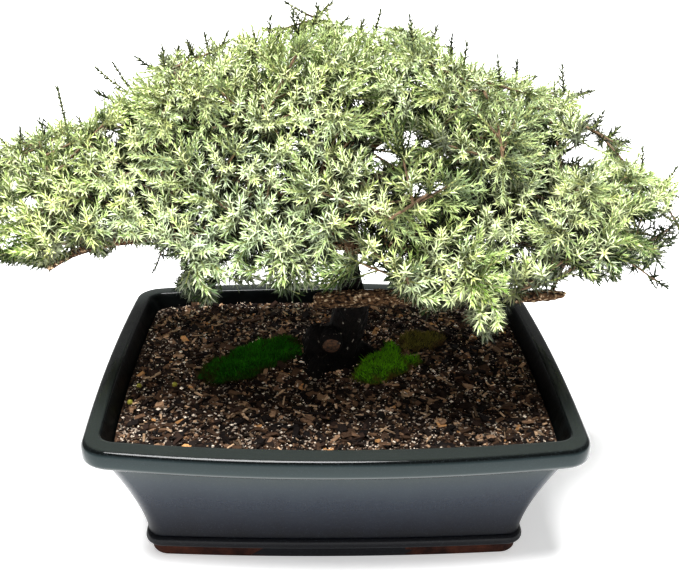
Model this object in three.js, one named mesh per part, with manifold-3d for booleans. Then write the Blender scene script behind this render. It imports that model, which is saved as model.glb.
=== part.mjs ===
// A juniper bonsai in its rectangular glazed pot. Millimetres, +Z up, the pot's feet stand on z = 0.
// The pot, its soil, two drain screens, three moss cushions, the wood of the tree and each leafy spray are
// solids of their own. The group is placed so that the whole plant's footprint is centred on the origin.
import * as THREE from "three";
import { mergeVertices } from "three/addons/utils/BufferGeometryUtils.js";
import Module from "manifold-3d";

// Driving dimensions
const GAP = 0.3; // between neighbouring solids
const POT_HEIGHT = 81.4;
const RIM_HALF = [130.5, 112]; // rim, half its width and half its depth at the middle of the sides
const RIM_BOW = [2.5, 9]; // how far the middle of a side stands out past its ends
const RIM_CORNER = 16; // corner radius of the rim, seen from above
const RIM_FLAT = [9.7, 13]; // from the rim's outer edge to its opening, at the sides and in front
const LIP_HEIGHT = 11;
const WALL_TOP = [122.5, 104]; // half sizes of the wall under the lip
const WALL_BOTTOM = [101.8, 80.8]; // and over the bead
const WALL_BOWS = [[1, 3], [2.5, 9]];
const WALL_CORNERS = [10, 11];
const WALL_THICK = 6;
const FOOT_HEIGHT = 7;
const BEAD_TOP = 13.5; // top of the rounded bead over the feet
const ARCH_RISE = 4.6; // of the cut-outs between the feet
const ARCH_TOP = [38, 26]; // half the flat length of the cut-outs in front and at the sides
const ARCH_FOOT = [60, 44]; // where the feet begin
const FLOOR_TOP = 11.5; // inside of the pot's floor
const DRAIN_X = 45; // drain holes, left and right of the middle
const DRAIN_RADIUS = 7;
const SCREEN = [22, 22, 1.2]; // drain screen
const SOIL_EDGE = 72; // soil level along the walls
const SOIL_MOUND = 7; // rise of the soil towards the trunk
const NEEDLE = 7.5; // length of a needle
const NEEDLE_RADIUS = 0.5; // at its root
const NEEDLE_STEP = 14.5; // along a twig, from one needle to the next
const AXIS_RADII = [2, 1.7, 1.1]; // of a spray's axis at its start, its bend and near its tip
const TWIG_RADII = [0.8, 0.9]; // of a spray's side twigs
const PEG_RADIUS = 1.2; // woody side twig that carries a spray
const PEG_LENGTH = 5;
const AXIS_PART = [17, 38]; // shortest and longest of the two lengths of a spray's axis
const AXIS_ROOM = 36; // length of an axis that has to clear its neighbours from the start
const TWIG_GAP = 14; // about how far apart side twigs stand on an axis
const TWIG_LONGEST = 34;
const CROWN_EDGE = 0.96; // share of the crown that the sprays' axes may reach
const REACH = 183; // to the left and right of the pot's middle
const SHARES = [1, 0.8, 0.62, 0.46, 0.3, 0.2]; // of its length that a twig may be shortened to
const LEAST_SHARE = 0.12; // of the second length of an axis, where a neighbour leaves no room for more
const FAN_RISE = [-0.9, 0.7]; // of side sprays that all stand on a limb's outer side, in turn

const UP = new THREE.Vector3(0, 0, 1);
const BACK = new THREE.Vector3(0, 1, 0);
const THIRD = (2 * Math.PI) / 3;

// The trunk from under the soil to the crown: x, y, z and radius.
const TRUNK = [
  [0, 3, 46, 9],
  [0, 3, 66, 15],
  [0, 3, 78, 18.5],
  [2, 3, 86, 14.5],
  [6, 2, 96, 11],
  [9, 1, 108, 10.2],
  [9, 0, 118, 9.8],
  [9, 1, 127, 6.6],
  [8, 2, 138, 5.4],
  [9, 3, 148, 3.8],
  [8, 4, 158, 4.6],
];

// Limbs, each a cubic Bezier of four points, its radius at both ends, how many sprays it carries, how steeply
// they rise, and the part of its length where its side sprays stand.
const LIMBS = [
  {
    name: "low_right", sprays: 3, rise: 0.3, part: [0.36, 0.94], stub: true,
    radius: [4.9, 3.3], path: [[-12, -7, 120], [40, -14, 127], [88, -10, 122], [129, -5, 123]],
  },
  {
    name: "leader", sprays: 2, rise: -0.2, part: [0.66, 0.84],
    radius: [4.2, 1.8], path: [[8, 4, 154], [6, 6, 185], [-8, 10, 205], [-2, 12, 232]],
  },
  {
    name: "crown_left", sprays: 1, rise: 0.9, part: [0.6, 0.6],
    radius: [2.4, 1.6], path: [[1, 8, 200], [-12, 8, 222], [-30, 4, 234], [-48, 4, 236]],
  },
  {
    name: "crown_right", sprays: 1, rise: 0.9, part: [0.5, 0.5],
    radius: [2.4, 1.6], path: [[1, 8, 196], [12, 14, 220], [20, 26, 232], [28, 40, 232]],
  },
  {
    name: "left_high", sprays: 4, rise: 0.65, part: [0.4, 0.8], swap: true,
    radius: [3, 1.6], path: [[6, 6, 172], [-25, 14, 205], [-65, 22, 220], [-108, 18, 212]],
  },
  {
    name: "left_wing", sprays: 4, rise: 0.35, part: [0.36, 0.84],
    radius: [3.4, 1.6], path: [[7, 2, 150], [-40, -18, 160], [-80, -22, 162], [-142, -4, 182]],
  },
  {
    name: "left_stub", sprays: 2, rise: 0.35, part: [0.4, 0.76], stub: true,
    radius: [2.6, 2.1], path: [[-75, -15, 164], [-104, -22, 162], [-140, -14, 156], [-157, -6, 139]],
  },
  {
    name: "left_back", sprays: 4, rise: 0.1, part: [0.35, 0.85], fan: true,
    radius: [2.8, 1.6], path: [[6, 8, 160], [-24, 36, 182], [-60, 48, 180], [-100, 48, 164]],
  },
  {
    name: "back", sprays: 3, rise: 0.4, part: [0.6, 0.75],
    radius: [2.6, 1.6], path: [[5, 10, 172], [10, 34, 200], [14, 50, 204], [16, 62, 192]],
  },
  {
    name: "right_back", sprays: 4, rise: 0.1, part: [0.35, 0.85], fan: true,
    radius: [2.8, 1.6], path: [[6, 8, 166], [34, 34, 184], [70, 46, 180], [108, 46, 164]],
  },
  {
    name: "right_high", sprays: 4, rise: 0.65, part: [0.4, 0.8],
    radius: [2.8, 1.6], path: [[4, 8, 190], [30, 14, 218], [62, 12, 228], [92, 4, 222]],
  },
  {
    name: "right_wing", sprays: 4, rise: 0.25, part: [0.36, 0.8],
    radius: [3.2, 1.6], path: [[9, 2, 146], [50, 8, 164], [92, -6, 164], [128, 2, 178]],
  },
  {
    name: "right_low", sprays: 2, rise: 0.15, part: [0.6, 0.6],
    radius: [2.2, 1.6], path: [[70, 1, 163], [92, -16, 160], [106, -22, 158], [120, -20, 158]],
  },
  {
    name: "front_left", sprays: 2, rise: 0, part: [0.5, 0.8],
    radius: [2.6, 1.6], path: [[6, 1, 156], [-18, -16, 170], [-32, -30, 176], [-42, -42, 174]],
  },
  {
    name: "front", sprays: 2, rise: 0.1, part: [0.6, 0.6],
    radius: [2.6, 1.6], path: [[7, 4, 166], [8, -16, 190], [10, -34, 198], [14, -46, 194]],
  },
  {
    name: "low_front", sprays: 1, rise: 0, part: [0.6, 0.6],
    radius: [2.4, 1.6], path: [[8, -1, 146], [8, -20, 162], [2, -34, 170], [-6, -44, 170]],
  },
  {
    name: "front_right", sprays: 3, rise: 0, part: [0.4, 0.75],
    radius: [2.6, 1.6], path: [[10, 0, 150], [28, -16, 162], [42, -32, 160], [50, -40, 153]],
  },
  {
    name: "high_left_front", sprays: 3, rise: 0.3, part: [0.45, 0.75],
    radius: [2.6, 1.6], path: [[5, 6, 184], [-24, -10, 210], [-50, -26, 214], [-74, -34, 208]],
  },
  {
    name: "high_right_front", sprays: 3, rise: 0.3, part: [0.54, 0.8],
    radius: [2.6, 1.6], path: [[5, 6, 178], [34, -8, 202], [58, -22, 208], [80, -28, 202]],
  },
];

// The crown, which the sprays grow out to: its top at places from left to right, its foot, its half width and
// half depth, and its underside, which slopes down to the back and lies higher at the far left.
const CROWN = {
  at: [-200, -160, -130, -100, -60, -10, 10, 45, 70, 112, 122, 145, 200],
  top: [203, 213, 222, 246, 260, 274, 268, 266, 250, 240, 241, 204, 186],
  foot: 108, half: [208, 92], bulge: 2.4, middle: -3,
  under: 126, slope: 0.42, left: [-70, -100], lift: 22, soft: 15,
};

// 0 deep inside the crown and 1 on its outside.
function crownShare({ x, y, z }) {
  const i = CROWN.at.findIndex((at, k) => x <= at || k === CROWN.at.length - 1) || 1;
  const part = (x - CROWN.at[i - 1]) / (CROWN.at[i] - CROWN.at[i - 1]);
  const top = CROWN.top[i - 1] + (CROWN.top[i] - CROWN.top[i - 1]) * part;
  const depth = CROWN.half[1] * Math.sqrt(Math.max(0.02, 1 - Math.abs(x / CROWN.half[0]) ** 2.6));
  const high = Math.max(0, (z - CROWN.foot) / (top - CROWN.foot));
  const left = THREE.MathUtils.clamp((x - CROWN.left[0]) / (CROWN.left[1] - CROWN.left[0]), 0, 1);
  const low = Math.max(0, (CROWN.under - CROWN.slope * y + CROWN.lift * left - z) / CROWN.soft);
  return high ** CROWN.bulge + Math.abs((y - CROWN.middle) / depth) ** CROWN.bulge + low;
}

const inCrown = (p) => crownShare(p) < CROWN_EDGE && Math.abs(p.x) < REACH && p.z > CROWN.foot + 4;

// A way from a point, turned along the crown's outside where a length of it would lead out.
function alongCrown(from, way, length) {
  const end = from.clone().addScaledVector(way, length);
  if (inCrown(end)) return way;
  const here = crownShare(end);
  const steps = [[1, 0, 0], [0, 1, 0], [0, 0, 1]].map(([x, y, z]) =>
    crownShare({ x: end.x + x, y: end.y + y, z: end.z + z }) - here,
  );
  const out = new THREE.Vector3(...steps).normalize();
  return way.clone().addScaledVector(out, -Math.max(0, way.dot(out))).normalize();
}

// Small helpers
const wasm = await Module();
wasm.setup();

const vector = (p) => new THREE.Vector3(p[0], p[1], p[2]);

// The same number between 0 and 1 for the same two counts.
function chance(a, b = 0) {
  const s = Math.sin(a * 127.1 + b * 311.7) * 43758.5453;
  return s - Math.floor(s);
}

// A three.js geometry as a solid for cutting and joining.
function solid(geometry) {
  const bare = new THREE.BufferGeometry().setAttribute("position", geometry.getAttribute("position"));
  if (geometry.index) bare.setIndex(geometry.index);
  const merged = mergeVertices(bare.index ? bare.toNonIndexed() : bare, 1e-4);
  const vertProperties = merged.attributes.position.array;
  const triVerts = new Uint32Array(merged.index.array);
  return new wasm.Manifold(new wasm.Mesh({ numProp: 3, vertProperties, triVerts }));
}

// The solids as one, by joining halves of the list.
function joined(solids) {
  if (solids.length === 1) return solids[0];
  const half = Math.ceil(solids.length / 2);
  return joined(solids.slice(0, half)).add(joined(solids.slice(half)));
}

// The largest connected body of a solid, without loose scraps.
const largest = (body) => body.decompose().reduce((a, b) => (b.volume() > a.volume() ? b : a));

function named(body, name, colour, roughness) {
  const mesh = body.getMesh();
  const places = new Float32Array(mesh.numVert * 3);
  for (let i = 0; i < mesh.numVert; i++) {
    places.set(mesh.vertProperties.subarray(i * mesh.numProp, i * mesh.numProp + 3), i * 3);
  }
  const geometry = new THREE.BufferGeometry().setAttribute("position", new THREE.BufferAttribute(places, 3));
  geometry.setIndex(new THREE.BufferAttribute(new Uint32Array(mesh.triVerts), 1));
  geometry.computeVertexNormals();
  const material = new THREE.MeshStandardMaterial({ color: colour, roughness, metalness: 0 });
  const made = new THREE.Mesh(geometry, material);
  made.name = name;
  return made;
}

// A closed skin over rings of points with the same count, from the first ring to the last. Rings turn
// counter-clockwise as seen from ahead. The skin ends in a flat cap, or in the tip if there is one.
function loft(rings, tip) {
  const count = rings[0].length;
  const points = rings.flat();
  const faces = [];
  for (let r = 0; r < rings.length - 1; r++) {
    for (let i = 0; i < count; i++) {
      const j = (i + 1) % count;
      const [a, b, c, d] = [r * count + i, r * count + j, (r + 1) * count + j, (r + 1) * count + i];
      faces.push(a, b, c, a, c, d);
    }
  }
  const fan = (first, apex, flip) => {
    points.push(apex);
    for (let i = 0; i < count; i++) {
      const j = (i + 1) % count;
      faces.push(points.length - 1, first + (flip ? j : i), first + (flip ? i : j));
    }
  };
  const middle = (ring) => ring.reduce((sum, p) => sum.add(p), new THREE.Vector3()).divideScalar(count);
  const last = (rings.length - 1) * count;
  if (count === 3) faces.push(2, 1, 0);
  else fan(0, middle(rings[0]), true);
  if (tip) fan(last, tip, false);
  else if (count === 3) faces.push(last, last + 1, last + 2);
  else fan(last, middle(rings[rings.length - 1]), false);
  const geometry = new THREE.BufferGeometry().setFromPoints(points);
  geometry.setIndex(faces);
  return geometry;
}

// Two directions square to a heading and to each other, the first as near as can be to a given one.
function squareTo(heading, near) {
  const side = near.clone().addScaledVector(heading, -near.dot(heading)).normalize();
  return [side, heading.clone().cross(side)];
}

function ringAt(centre, [side, other], radius, sides, turn = 0) {
  return Array.from({ length: sides }, (_, k) => {
    const angle = turn + (k / sides) * 2 * Math.PI;
    const way = side.clone().multiplyScalar(Math.cos(angle)).addScaledVector(other, Math.sin(angle));
    return centre.clone().addScaledVector(way, radius);
  });
}

// A tapering limb through points with radii.
function limb(points, radii, sides) {
  const rings = points.map((p, i) => {
    const ahead = points[Math.min(i + 1, points.length - 1)];
    const heading = ahead.clone().sub(points[Math.max(i - 1, 0)]).normalize();
    return ringAt(p, squareTo(heading, Math.abs(heading.z) > 0.9 ? BACK : UP), radii[i], sides, 0.3);
  });
  return loft(rings);
}

// A three-sided shaft through points with radii that ends in a tip. Its rings all face the same way, apart from
// the first where that has a frame of its own.
function shaft(points, radii, frame, first = frame) {
  return loft(radii.map((radius, i) => ringAt(points[i], i ? frame : first, radius, 3)), points[radii.length]);
}

// The pot

// Outline of the pot at one level: four bowed sides joined by round corners, counter-clockwise from above.
function outline(half, bow, corner, z) {
  const centre = [half[0] - bow[0] - corner, half[1] - bow[1] - corner];
  const turn = [2 * Math.atan(bow[0] / centre[1]), 2 * Math.atan(bow[1] / centre[0])];
  const big = corner + centre[0] / Math.sin(turn[1]);
  const quarter = [[half[0], 0]];
  for (let i = 0; i <= 4; i++) {
    const a = turn[0] + ((Math.PI / 2 - turn[0] - turn[1]) * i) / 4;
    quarter.push([centre[0] + corner * Math.cos(a), centre[1] + corner * Math.sin(a)]);
  }
  for (let i = 2; i >= 1; i--) {
    const a = (turn[1] * i) / 3;
    quarter.push([big * Math.sin(a), half[1] - big * (1 - Math.cos(a))]);
  }
  const top = [0, half[1]];
  const quarters = [
    quarter,
    [top, ...quarter.slice(1).reverse().map(([x, y]) => [-x, y])],
    quarter.map(([x, y]) => [-x, -y]),
    [[0, -half[1]], ...quarter.slice(1).reverse().map(([x, y]) => [x, -y])],
  ];
  return quarters.flat().map(([x, y]) => new THREE.Vector3(x, y, z));
}

const inset = (half, d) => [half[0] - d, half[1] - d];
const between = (a, b, t) => a + (b - a) * t;
const blend = (a, b, t) => [between(a[0], b[0], t), between(a[1], b[1], t)];

// Outline of the wall, drawn in by a distance, at a share of its height: 0 over the bead and 1 under the lip.
// The wall flares in a hollow curve.
function wallOutline(share, draw, z) {
  const half = inset(blend(WALL_BOTTOM, WALL_TOP, share ** 1.3), draw);
  const corner = between(...WALL_CORNERS, share) - 0.5 * draw;
  return outline(half, blend(...WALL_BOWS, share), corner, z);
}
const wallZ = (share) => between(BEAD_TOP, POT_HEIGHT - LIP_HEIGHT, share);

function potBody() {
  const lipBottom = POT_HEIGHT - LIP_HEIGHT;
  const rim = (d, z) => outline(inset(RIM_HALF, d), RIM_BOW, RIM_CORNER - 0.5 * d, z);
  const foot = (d, z) => outline(inset(WALL_BOTTOM, d), WALL_BOWS[0], WALL_CORNERS[0] - 1, z);
  const rings = [
    foot(2.6, 0),
    foot(1.5, 1.2),
    foot(1.5, FOOT_HEIGHT),
    foot(-1, FOOT_HEIGHT + 1.6),
    foot(-1, BEAD_TOP - 1.8),
    ...[0, 0.33, 0.67, 1].map((share) => wallOutline(share, 0, wallZ(share))),
    rim(1.2, lipBottom + 0.4),
    rim(0, lipBottom + 2),
    rim(0, POT_HEIGHT - 2.4),
    rim(1, POT_HEIGHT - 0.6),
    rim(2.6, POT_HEIGHT),
  ];
  const mouth = (d) => [RIM_HALF[0] - RIM_FLAT[0] - d, RIM_HALF[1] - RIM_FLAT[1] - d];
  const hollow = [
    wallOutline(0, WALL_THICK + 3, FLOOR_TOP),
    ...[0.6, 1].map((share) => wallOutline(share, WALL_THICK, wallZ(share))),
    outline(mouth(1), blend(...WALL_BOWS, 0.8), 9, POT_HEIGHT - 3),
    outline(mouth(0), blend(...WALL_BOWS, 0.8), 9, POT_HEIGHT + 1),
  ];
  return solid(loft(rings)).subtract(solid(loft(hollow)));
}

// The scalloped cut between two feet, as a long bar along Y (in front) or along X (at the sides).
function archCut(side) {
  const [flat, foot] = [ARCH_TOP[side], ARCH_FOOT[side]];
  const shape = new THREE.Shape();
  shape.moveTo(-foot, -1);
  shape.lineTo(-foot, 0.01);
  shape.bezierCurveTo(-foot + 10, 0.2, -flat - 10, ARCH_RISE, -flat, ARCH_RISE);
  shape.lineTo(flat, ARCH_RISE);
  shape.bezierCurveTo(flat + 10, ARCH_RISE, foot - 10, 0.2, foot, 0.01);
  shape.lineTo(foot, -1);
  const bar = new THREE.ExtrudeGeometry(shape, { depth: 300, bevelEnabled: false, curveSegments: 4 });
  bar.translate(0, 0, -150).rotateX(Math.PI / 2);
  if (side === 1) bar.rotateZ(Math.PI / 2);
  return solid(bar);
}

function pot() {
  const drains = [-1, 1].map((side) => {
    const hole = new THREE.CylinderGeometry(DRAIN_RADIUS, DRAIN_RADIUS, 40, 12).rotateX(Math.PI / 2);
    return solid(hole.translate(side * DRAIN_X, 0, 0));
  });
  const cuts = joined([archCut(0), archCut(1), ...drains]);
  return named(potBody().subtract(cuts), "pot", 0x2a3a40, 0.25);
}

function drainScreen(side) {
  const plate = solid(new THREE.BoxGeometry(...SCREEN));
  const holes = [[-1, -1], [-1, 1], [1, -1], [1, 1]].map(([i, j]) =>
    solid(new THREE.BoxGeometry(3, 3, 5).translate(i * 4.4, j * 4.4, 0)),
  );
  const screen = plate.subtract(joined(holes)).translate(side * DRAIN_X, 0, FLOOR_TOP + GAP + SCREEN[2] / 2);
  return named(screen, side < 0 ? "drain_screen_left" : "drain_screen_right", 0x151515, 0.6);
}

// Soil and moss

// Soil level: a low mound round the trunk, with the unevenness of loose bark and grit.
function soilHeight(x, y) {
  const out = Math.min(1, Math.hypot(x / 115, y / 95));
  const mound = SOIL_MOUND * (1 - out ** 2);
  const bumps = 0.7 * Math.sin(x * 0.21 + 1.3) * Math.cos(y * 0.26) + 0.4 * Math.sin(x * 0.5 + y * 0.43);
  return SOIL_EDGE + mound + bumps;
}

function soilBody() {
  const share = Math.min(1, (SOIL_EDGE - BEAD_TOP) / (POT_HEIGHT - LIP_HEIGHT - BEAD_TOP));
  const edge = wallOutline(share, WALL_THICK + GAP, SOIL_EDGE);
  const rings = [
    wallOutline(0, WALL_THICK + 3 + GAP, FLOOR_TOP + GAP),
    wallOutline(0.6, WALL_THICK + GAP + 0.3, wallZ(0.6)),
    edge,
  ];
  for (const size of [0.92, 0.7, 0.45, 0.2]) {
    const ring = edge.map((p) => new THREE.Vector3(p.x * size, p.y * size, 0));
    rings.push(ring.map((p) => p.setZ(soilHeight(p.x, p.y))));
  }
  return solid(loft(rings));
}

// Bark chips that lie in the soil's surface, placed by a seeded rule and kept off the trunk and the moss.
function barkChips(count) {
  const chips = [];
  for (let i = 0; chips.length < count; i++) {
    const x = (chance(i, 1) - 0.5) * 210;
    const y = (chance(i, 2) - 0.5) * 170;
    if (Math.hypot(x, y - 3) < 30 || MOSS.some((m) => mossReach(m, x, y) < 1.35)) continue;
    const size = [6 + 6 * chance(i, 3), 2.5 + 2 * chance(i, 4), 2.4];
    const chip = new THREE.BoxGeometry(...size);
    chip.rotateX(0.5 * (chance(i, 5) - 0.5)).rotateY(0.4 * (chance(i, 6) - 0.5));
    chip.rotateZ(Math.PI * chance(i, 7)).translate(x, y, soilHeight(x, y) + 0.1);
    chips.push(solid(chip));
  }
  return joined(chips);
}

// Moss cushions: middle, half length and half width, heading, and height over the soil.
const MOSS = [
  { name: "moss_left", at: [-44, 1], half: [34, 15], heading: 0.82, height: 6, colour: 0x0e4a12 },
  { name: "moss_right", at: [27, -13], half: [19, 12], heading: 0.75, height: 6.5, colour: 0x1b5c16 },
  { name: "moss_brown", at: [53, 25], half: [14, 11], heading: 0.3, height: 5.5, colour: 0x3a3512 },
];

// 1 on a cushion's edge and 0 in its middle.
function mossReach(moss, x, y) {
  const [dx, dy] = [x - moss.at[0], y - moss.at[1]];
  const along = dx * Math.cos(moss.heading) + dy * Math.sin(moss.heading);
  const across = -dx * Math.sin(moss.heading) + dy * Math.cos(moss.heading);
  return Math.hypot(along / moss.half[0], across / moss.half[1]);
}

// A cushion's ring at a share of its reach, with a lobed edge.
function mossRing(moss, size, z, sides) {
  return Array.from({ length: sides }, (_, k) => {
    const a = (k / sides) * 2 * Math.PI;
    const lobe = size * (1 + 0.1 * Math.sin(3 * a + moss.heading * 5) + 0.06 * Math.sin(5 * a));
    const [u, v] = [moss.half[0] * lobe * Math.cos(a), moss.half[1] * lobe * Math.sin(a)];
    const x = moss.at[0] + u * Math.cos(moss.heading) - v * Math.sin(moss.heading);
    const y = moss.at[1] + u * Math.sin(moss.heading) + v * Math.cos(moss.heading);
    const bump = size < 0.9 ? 0.6 * Math.sin(x * 0.55) * Math.cos(y * 0.6) : 0;
    return new THREE.Vector3(x, y, z + bump);
  });
}

const mossBed = (moss) => soilHeight(...moss.at) - 2;

function mossCushion(moss) {
  const bed = mossBed(moss);
  const top = moss.height + 2;
  const rings = [
    mossRing(moss, 0.98, bed + GAP, 15),
    mossRing(moss, 1, bed + 0.4 * top, 15),
    mossRing(moss, 0.82, bed + 0.75 * top, 15),
    mossRing(moss, 0.45, bed + top, 15),
  ];
  return solid(loft(rings));
}

// The flat bed that a cushion lies in, a little wider than the cushion.
function mossHollow(moss) {
  const wide = { ...moss, half: [moss.half[0] + 1, moss.half[1] + 1] };
  return solid(loft([mossRing(wide, 1, mossBed(moss), 15), mossRing(wide, 1, mossBed(moss) + 20, 15)]));
}

// Room between neighbours

// Shortest distance between the segments a and b, each a pair of points.
function distance(a, b) {
  const [p, q] = [a[0], b[0]];
  const [u, v] = [a[1].clone().sub(p), b[1].clone().sub(q)];
  const w = p.clone().sub(q);
  const [uu, uv, vv, uw, vw] = [u.dot(u), u.dot(v), v.dot(v), u.dot(w), v.dot(w)];
  const flat = uu * vv - uv * uv;
  let s = flat > 1e-9 ? THREE.MathUtils.clamp((uv * vw - vv * uw) / flat, 0, 1) : 0;
  const t = THREE.MathUtils.clamp((uv * s + vw) / vv, 0, 1);
  s = THREE.MathUtils.clamp((uv * t - uw) / uu, 0, 1);
  return p.clone().addScaledVector(u, s).distanceTo(q.clone().addScaledVector(v, t));
}

// What stands already: segments with a radius and the limb or spray that owns them.
const standing = [];
const stand = (segment, radius, owner) => standing.push({ segment, radius, owner });

function clear(segment, radius, owner) {
  const free = (other) => distance(segment, other.segment) > radius + other.radius + GAP;
  return standing.every((other) => other.owner === owner || free(other));
}

// The wood
const trunkPoints = TRUNK.map(vector);

// Roots that spread from the trunk's foot and dive into the soil: heading, reach and radius.
const ROOTS = [[0.2, 40, 5], [2.2, 38, 5], [4.2, 40, 5.4]];

function rootLimb([heading, reach, radius], more) {
  const at = (d, z) => new THREE.Vector3(d * Math.cos(heading), 3 + d * Math.sin(heading), z);
  const points = [at(4, 86), at(14, 82), at(24, 76), at(reach, 62)];
  return solid(limb(points, [radius + 3, radius + 1.5, radius, radius * 0.4].map((r) => r + more), 5));
}

// The trunk with its roots; more than 0 makes it fatter, for the hole in the soil.
function trunkFoot(more) {
  const column = solid(limb(trunkPoints, TRUNK.map((p) => p[3] + more), 9));
  return joined([column, ...ROOTS.map((root) => rootLimb(root, more))]);
}

// The swollen knot left and in front of the trunk's foot, with the scar of a cut branch.
function knot() {
  const lump = new THREE.SphereGeometry(10.3, 7, 5).scale(1, 0.9, 1.05).translate(-8, -3, 91.5);
  const scar = new THREE.CylinderGeometry(4.2, 5.4, 10, 6).rotateX(0.25).translate(-4, -10, 92);
  return solid(lump).add(solid(scar));
}

const bezier = (path) => new THREE.CubicBezierCurve3(...path.map(vector));

// A limb's centre line as straight lengths: four for a long limb, three for a short one.
function bones(item) {
  const long = Math.hypot(item.path[3][0], item.path[3][1]) > 77;
  return bezier(item.path).getPoints(long ? 4 : 3);
}

// The place at a share of a limb's length, on its straight lengths.
function pointOn(item, t) {
  const points = bones(item);
  const place = Math.min(t * (points.length - 1), points.length - 1 - 1e-6);
  const index = Math.floor(place);
  return points[index].clone().lerp(points[index + 1], place - index);
}

function limbBody(item) {
  const points = bones(item);
  const radii = points.map((_, i) => between(...item.radius, i / (points.length - 1)));
  return solid(limb(points, radii, item.radius[0] > 2.7 ? 5 : 4));
}

// The spray at the end of a limb goes on in the limb's direction.
function tipSpray(item, index) {
  const [before, root] = bones(item).slice(-2);
  const heading = root.clone().sub(before).normalize();
  return { limb: item, index, root, heading, atTip: true };
}

// A side spray stands on a peg, on alternate sides of its limb; the shift moves it along the limb.
function sideSpray(item, index, shift) {
  const last = item.sprays - (item.stub ? 1 : 2);
  const t = between(...item.part, last ? index / last : 0) + shift;
  const foot = pointOn(item, t);
  const along = bezier(item.path).getTangent(t);
  const side = along.clone().cross(UP).normalize().multiplyScalar((index + (item.swap ? 1 : 0)) % 2 ? 1 : -1);
  if (item.fan) side.multiplyScalar(side.y * foot.y > 0 ? 1 : -1);
  const rise = item.fan ? FAN_RISE[index % 2] : item.rise;
  const heading = along.clone().multiplyScalar(0.6).addScaledVector(side, 0.8);
  heading.addScaledVector(UP, rise + 0.3 * chance(LIMBS.indexOf(item), index + 40)).normalize();
  const reach = between(...item.radius, t) + PEG_LENGTH;
  return { limb: item, index, foot, along, heading, reach, atTip: false };
}

const nameOf = (spray) => "spray_" + spray.limb.name + "_" + (spray.index + 1);

// A side spray is turned round its limb, and moved along it, until its peg and its axis clear what stands.
function settle(item, index) {
  for (const shift of [0, 0.06, -0.06, 0.12, -0.12, 0.18, -0.18]) {
    const spray = sideSpray(item, index, shift);
    for (const turn of [0, 0.4, -0.4, 0.8, -0.8, 1.2, -1.2]) {
      const heading = spray.heading.clone().applyAxisAngle(spray.along, turn);
      const root = spray.foot.clone().addScaledVector(heading, spray.reach);
      const axis = [root, root.clone().addScaledVector(heading, AXIS_ROOM)];
      const free = clear([spray.foot, root], PEG_RADIUS, item.name);
      if (free && clear(axis, AXIS_RADII[0], nameOf(spray))) return { ...spray, heading, root };
    }
  }
  throw new Error("no room for a spray on " + item.name);
}

function placeSprays() {
  trunkPoints.slice(1).forEach((p, i) => {
    stand([trunkPoints[i], p], Math.max(TRUNK[i][3], TRUNK[i + 1][3]), "trunk");
  });
  for (const item of LIMBS) {
    const points = bones(item);
    const radius = (i) => between(...item.radius, i / (points.length - 1));
    points.slice(1).forEach((p, i) => stand([points[i], p], radius(i), item.name));
  }
  const tips = LIMBS.filter((item) => !item.stub).map((item) => tipSpray(item, item.sprays - 1));
  for (const spray of tips) {
    const axis = [spray.root, spray.root.clone().addScaledVector(spray.heading, AXIS_ROOM)];
    stand(axis, AXIS_RADII[0], nameOf(spray));
  }
  const sides = [];
  for (const item of LIMBS) {
    for (let index = 0; index < item.sprays - (item.stub ? 0 : 1); index++) {
      const spray = settle(item, index);
      stand([spray.foot, spray.root.clone().addScaledVector(spray.heading, -1)], PEG_RADIUS + 0.2, item.name);
      const axis = [spray.root, spray.root.clone().addScaledVector(spray.heading, AXIS_ROOM)];
      stand(axis, AXIS_RADII[0], nameOf(spray));
      sides.push(spray);
    }
  }
  return [...tips, ...sides];
}

const SPRAYS = placeSprays();

function wood() {
  const pegs = SPRAYS.filter((spray) => !spray.atTip).map((spray) =>
    solid(limb([spray.foot, spray.root], [PEG_RADIUS + 0.15, PEG_RADIUS], 3)),
  );
  return joined([trunkFoot(0), knot(), ...LIMBS.map(limbBody), ...pegs]);
}

// Leafy sprays

// The length from a point along a way, between two lengths, that stays in the crown.
function lengthInside(from, way, [shortest, longest]) {
  let length = shortest;
  while (length < longest && inCrown(from.clone().addScaledVector(way, length + 2))) length += 2;
  return length;
}

// The twigs of a spray: an axis of two straight lengths that bends up to the light, or along the outside of
// the crown, and three to six side twigs.
function twigsOf(spray) {
  const { heading, root } = spray;
  const seed = LIMBS.indexOf(spray.limb) * 17 + spray.index;
  const lift = spray.atTip ? 0.3 + 0.4 * spray.limb.rise : 0.3;
  const start = root.clone().addScaledVector(heading, GAP);
  const bend = start.clone().addScaledVector(heading, lengthInside(start, heading, AXIS_PART));
  const later = alongCrown(bend, heading.clone().addScaledVector(UP, lift).normalize(), AXIS_PART[1]);
  const tip = bend.clone().addScaledVector(later, lengthInside(bend, later, AXIS_PART));
  const length = start.distanceTo(bend) + bend.distanceTo(tip);
  const frame = squareTo(heading, Math.abs(heading.z) > 0.95 ? BACK : UP);
  const straight = tip.clone().sub(start).normalize();
  const twigs = [{ points: [start, bend, tip], frame: squareTo(straight, frame[0]), first: frame, seed }];
  const count = THREE.MathUtils.clamp(Math.round(length / TWIG_GAP), 3, 6);
  for (let k = 0; k < count; k++) {
    const u = 0.2 + (0.6 * k) / (count - 1);
    const foot = u < 0.5 ? start.clone().lerp(bend, u * 2) : bend.clone().lerp(tip, u * 2 - 1);
    const along = u < 0.5 ? heading : later;
    const way = along.clone().multiplyScalar(0.75).addScaledVector(frame[1], k % 2 ? 0.8 : -0.8);
    way.addScaledVector(frame[0], 0.32 + 0.28 * chance(seed, k)).normalize();
    const reach = Math.min(TWIG_LONGEST, length * (0.8 - 0.5 * u)) * (0.85 + 0.3 * chance(seed, k + 9));
    const bent = alongCrown(foot, way, reach);
    const points = [foot, foot.clone().addScaledVector(bent, reach)];
    twigs.push({ points, frame: squareTo(bent, along), seed: seed + 400 + k, u });
  }
  return twigs;
}

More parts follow.
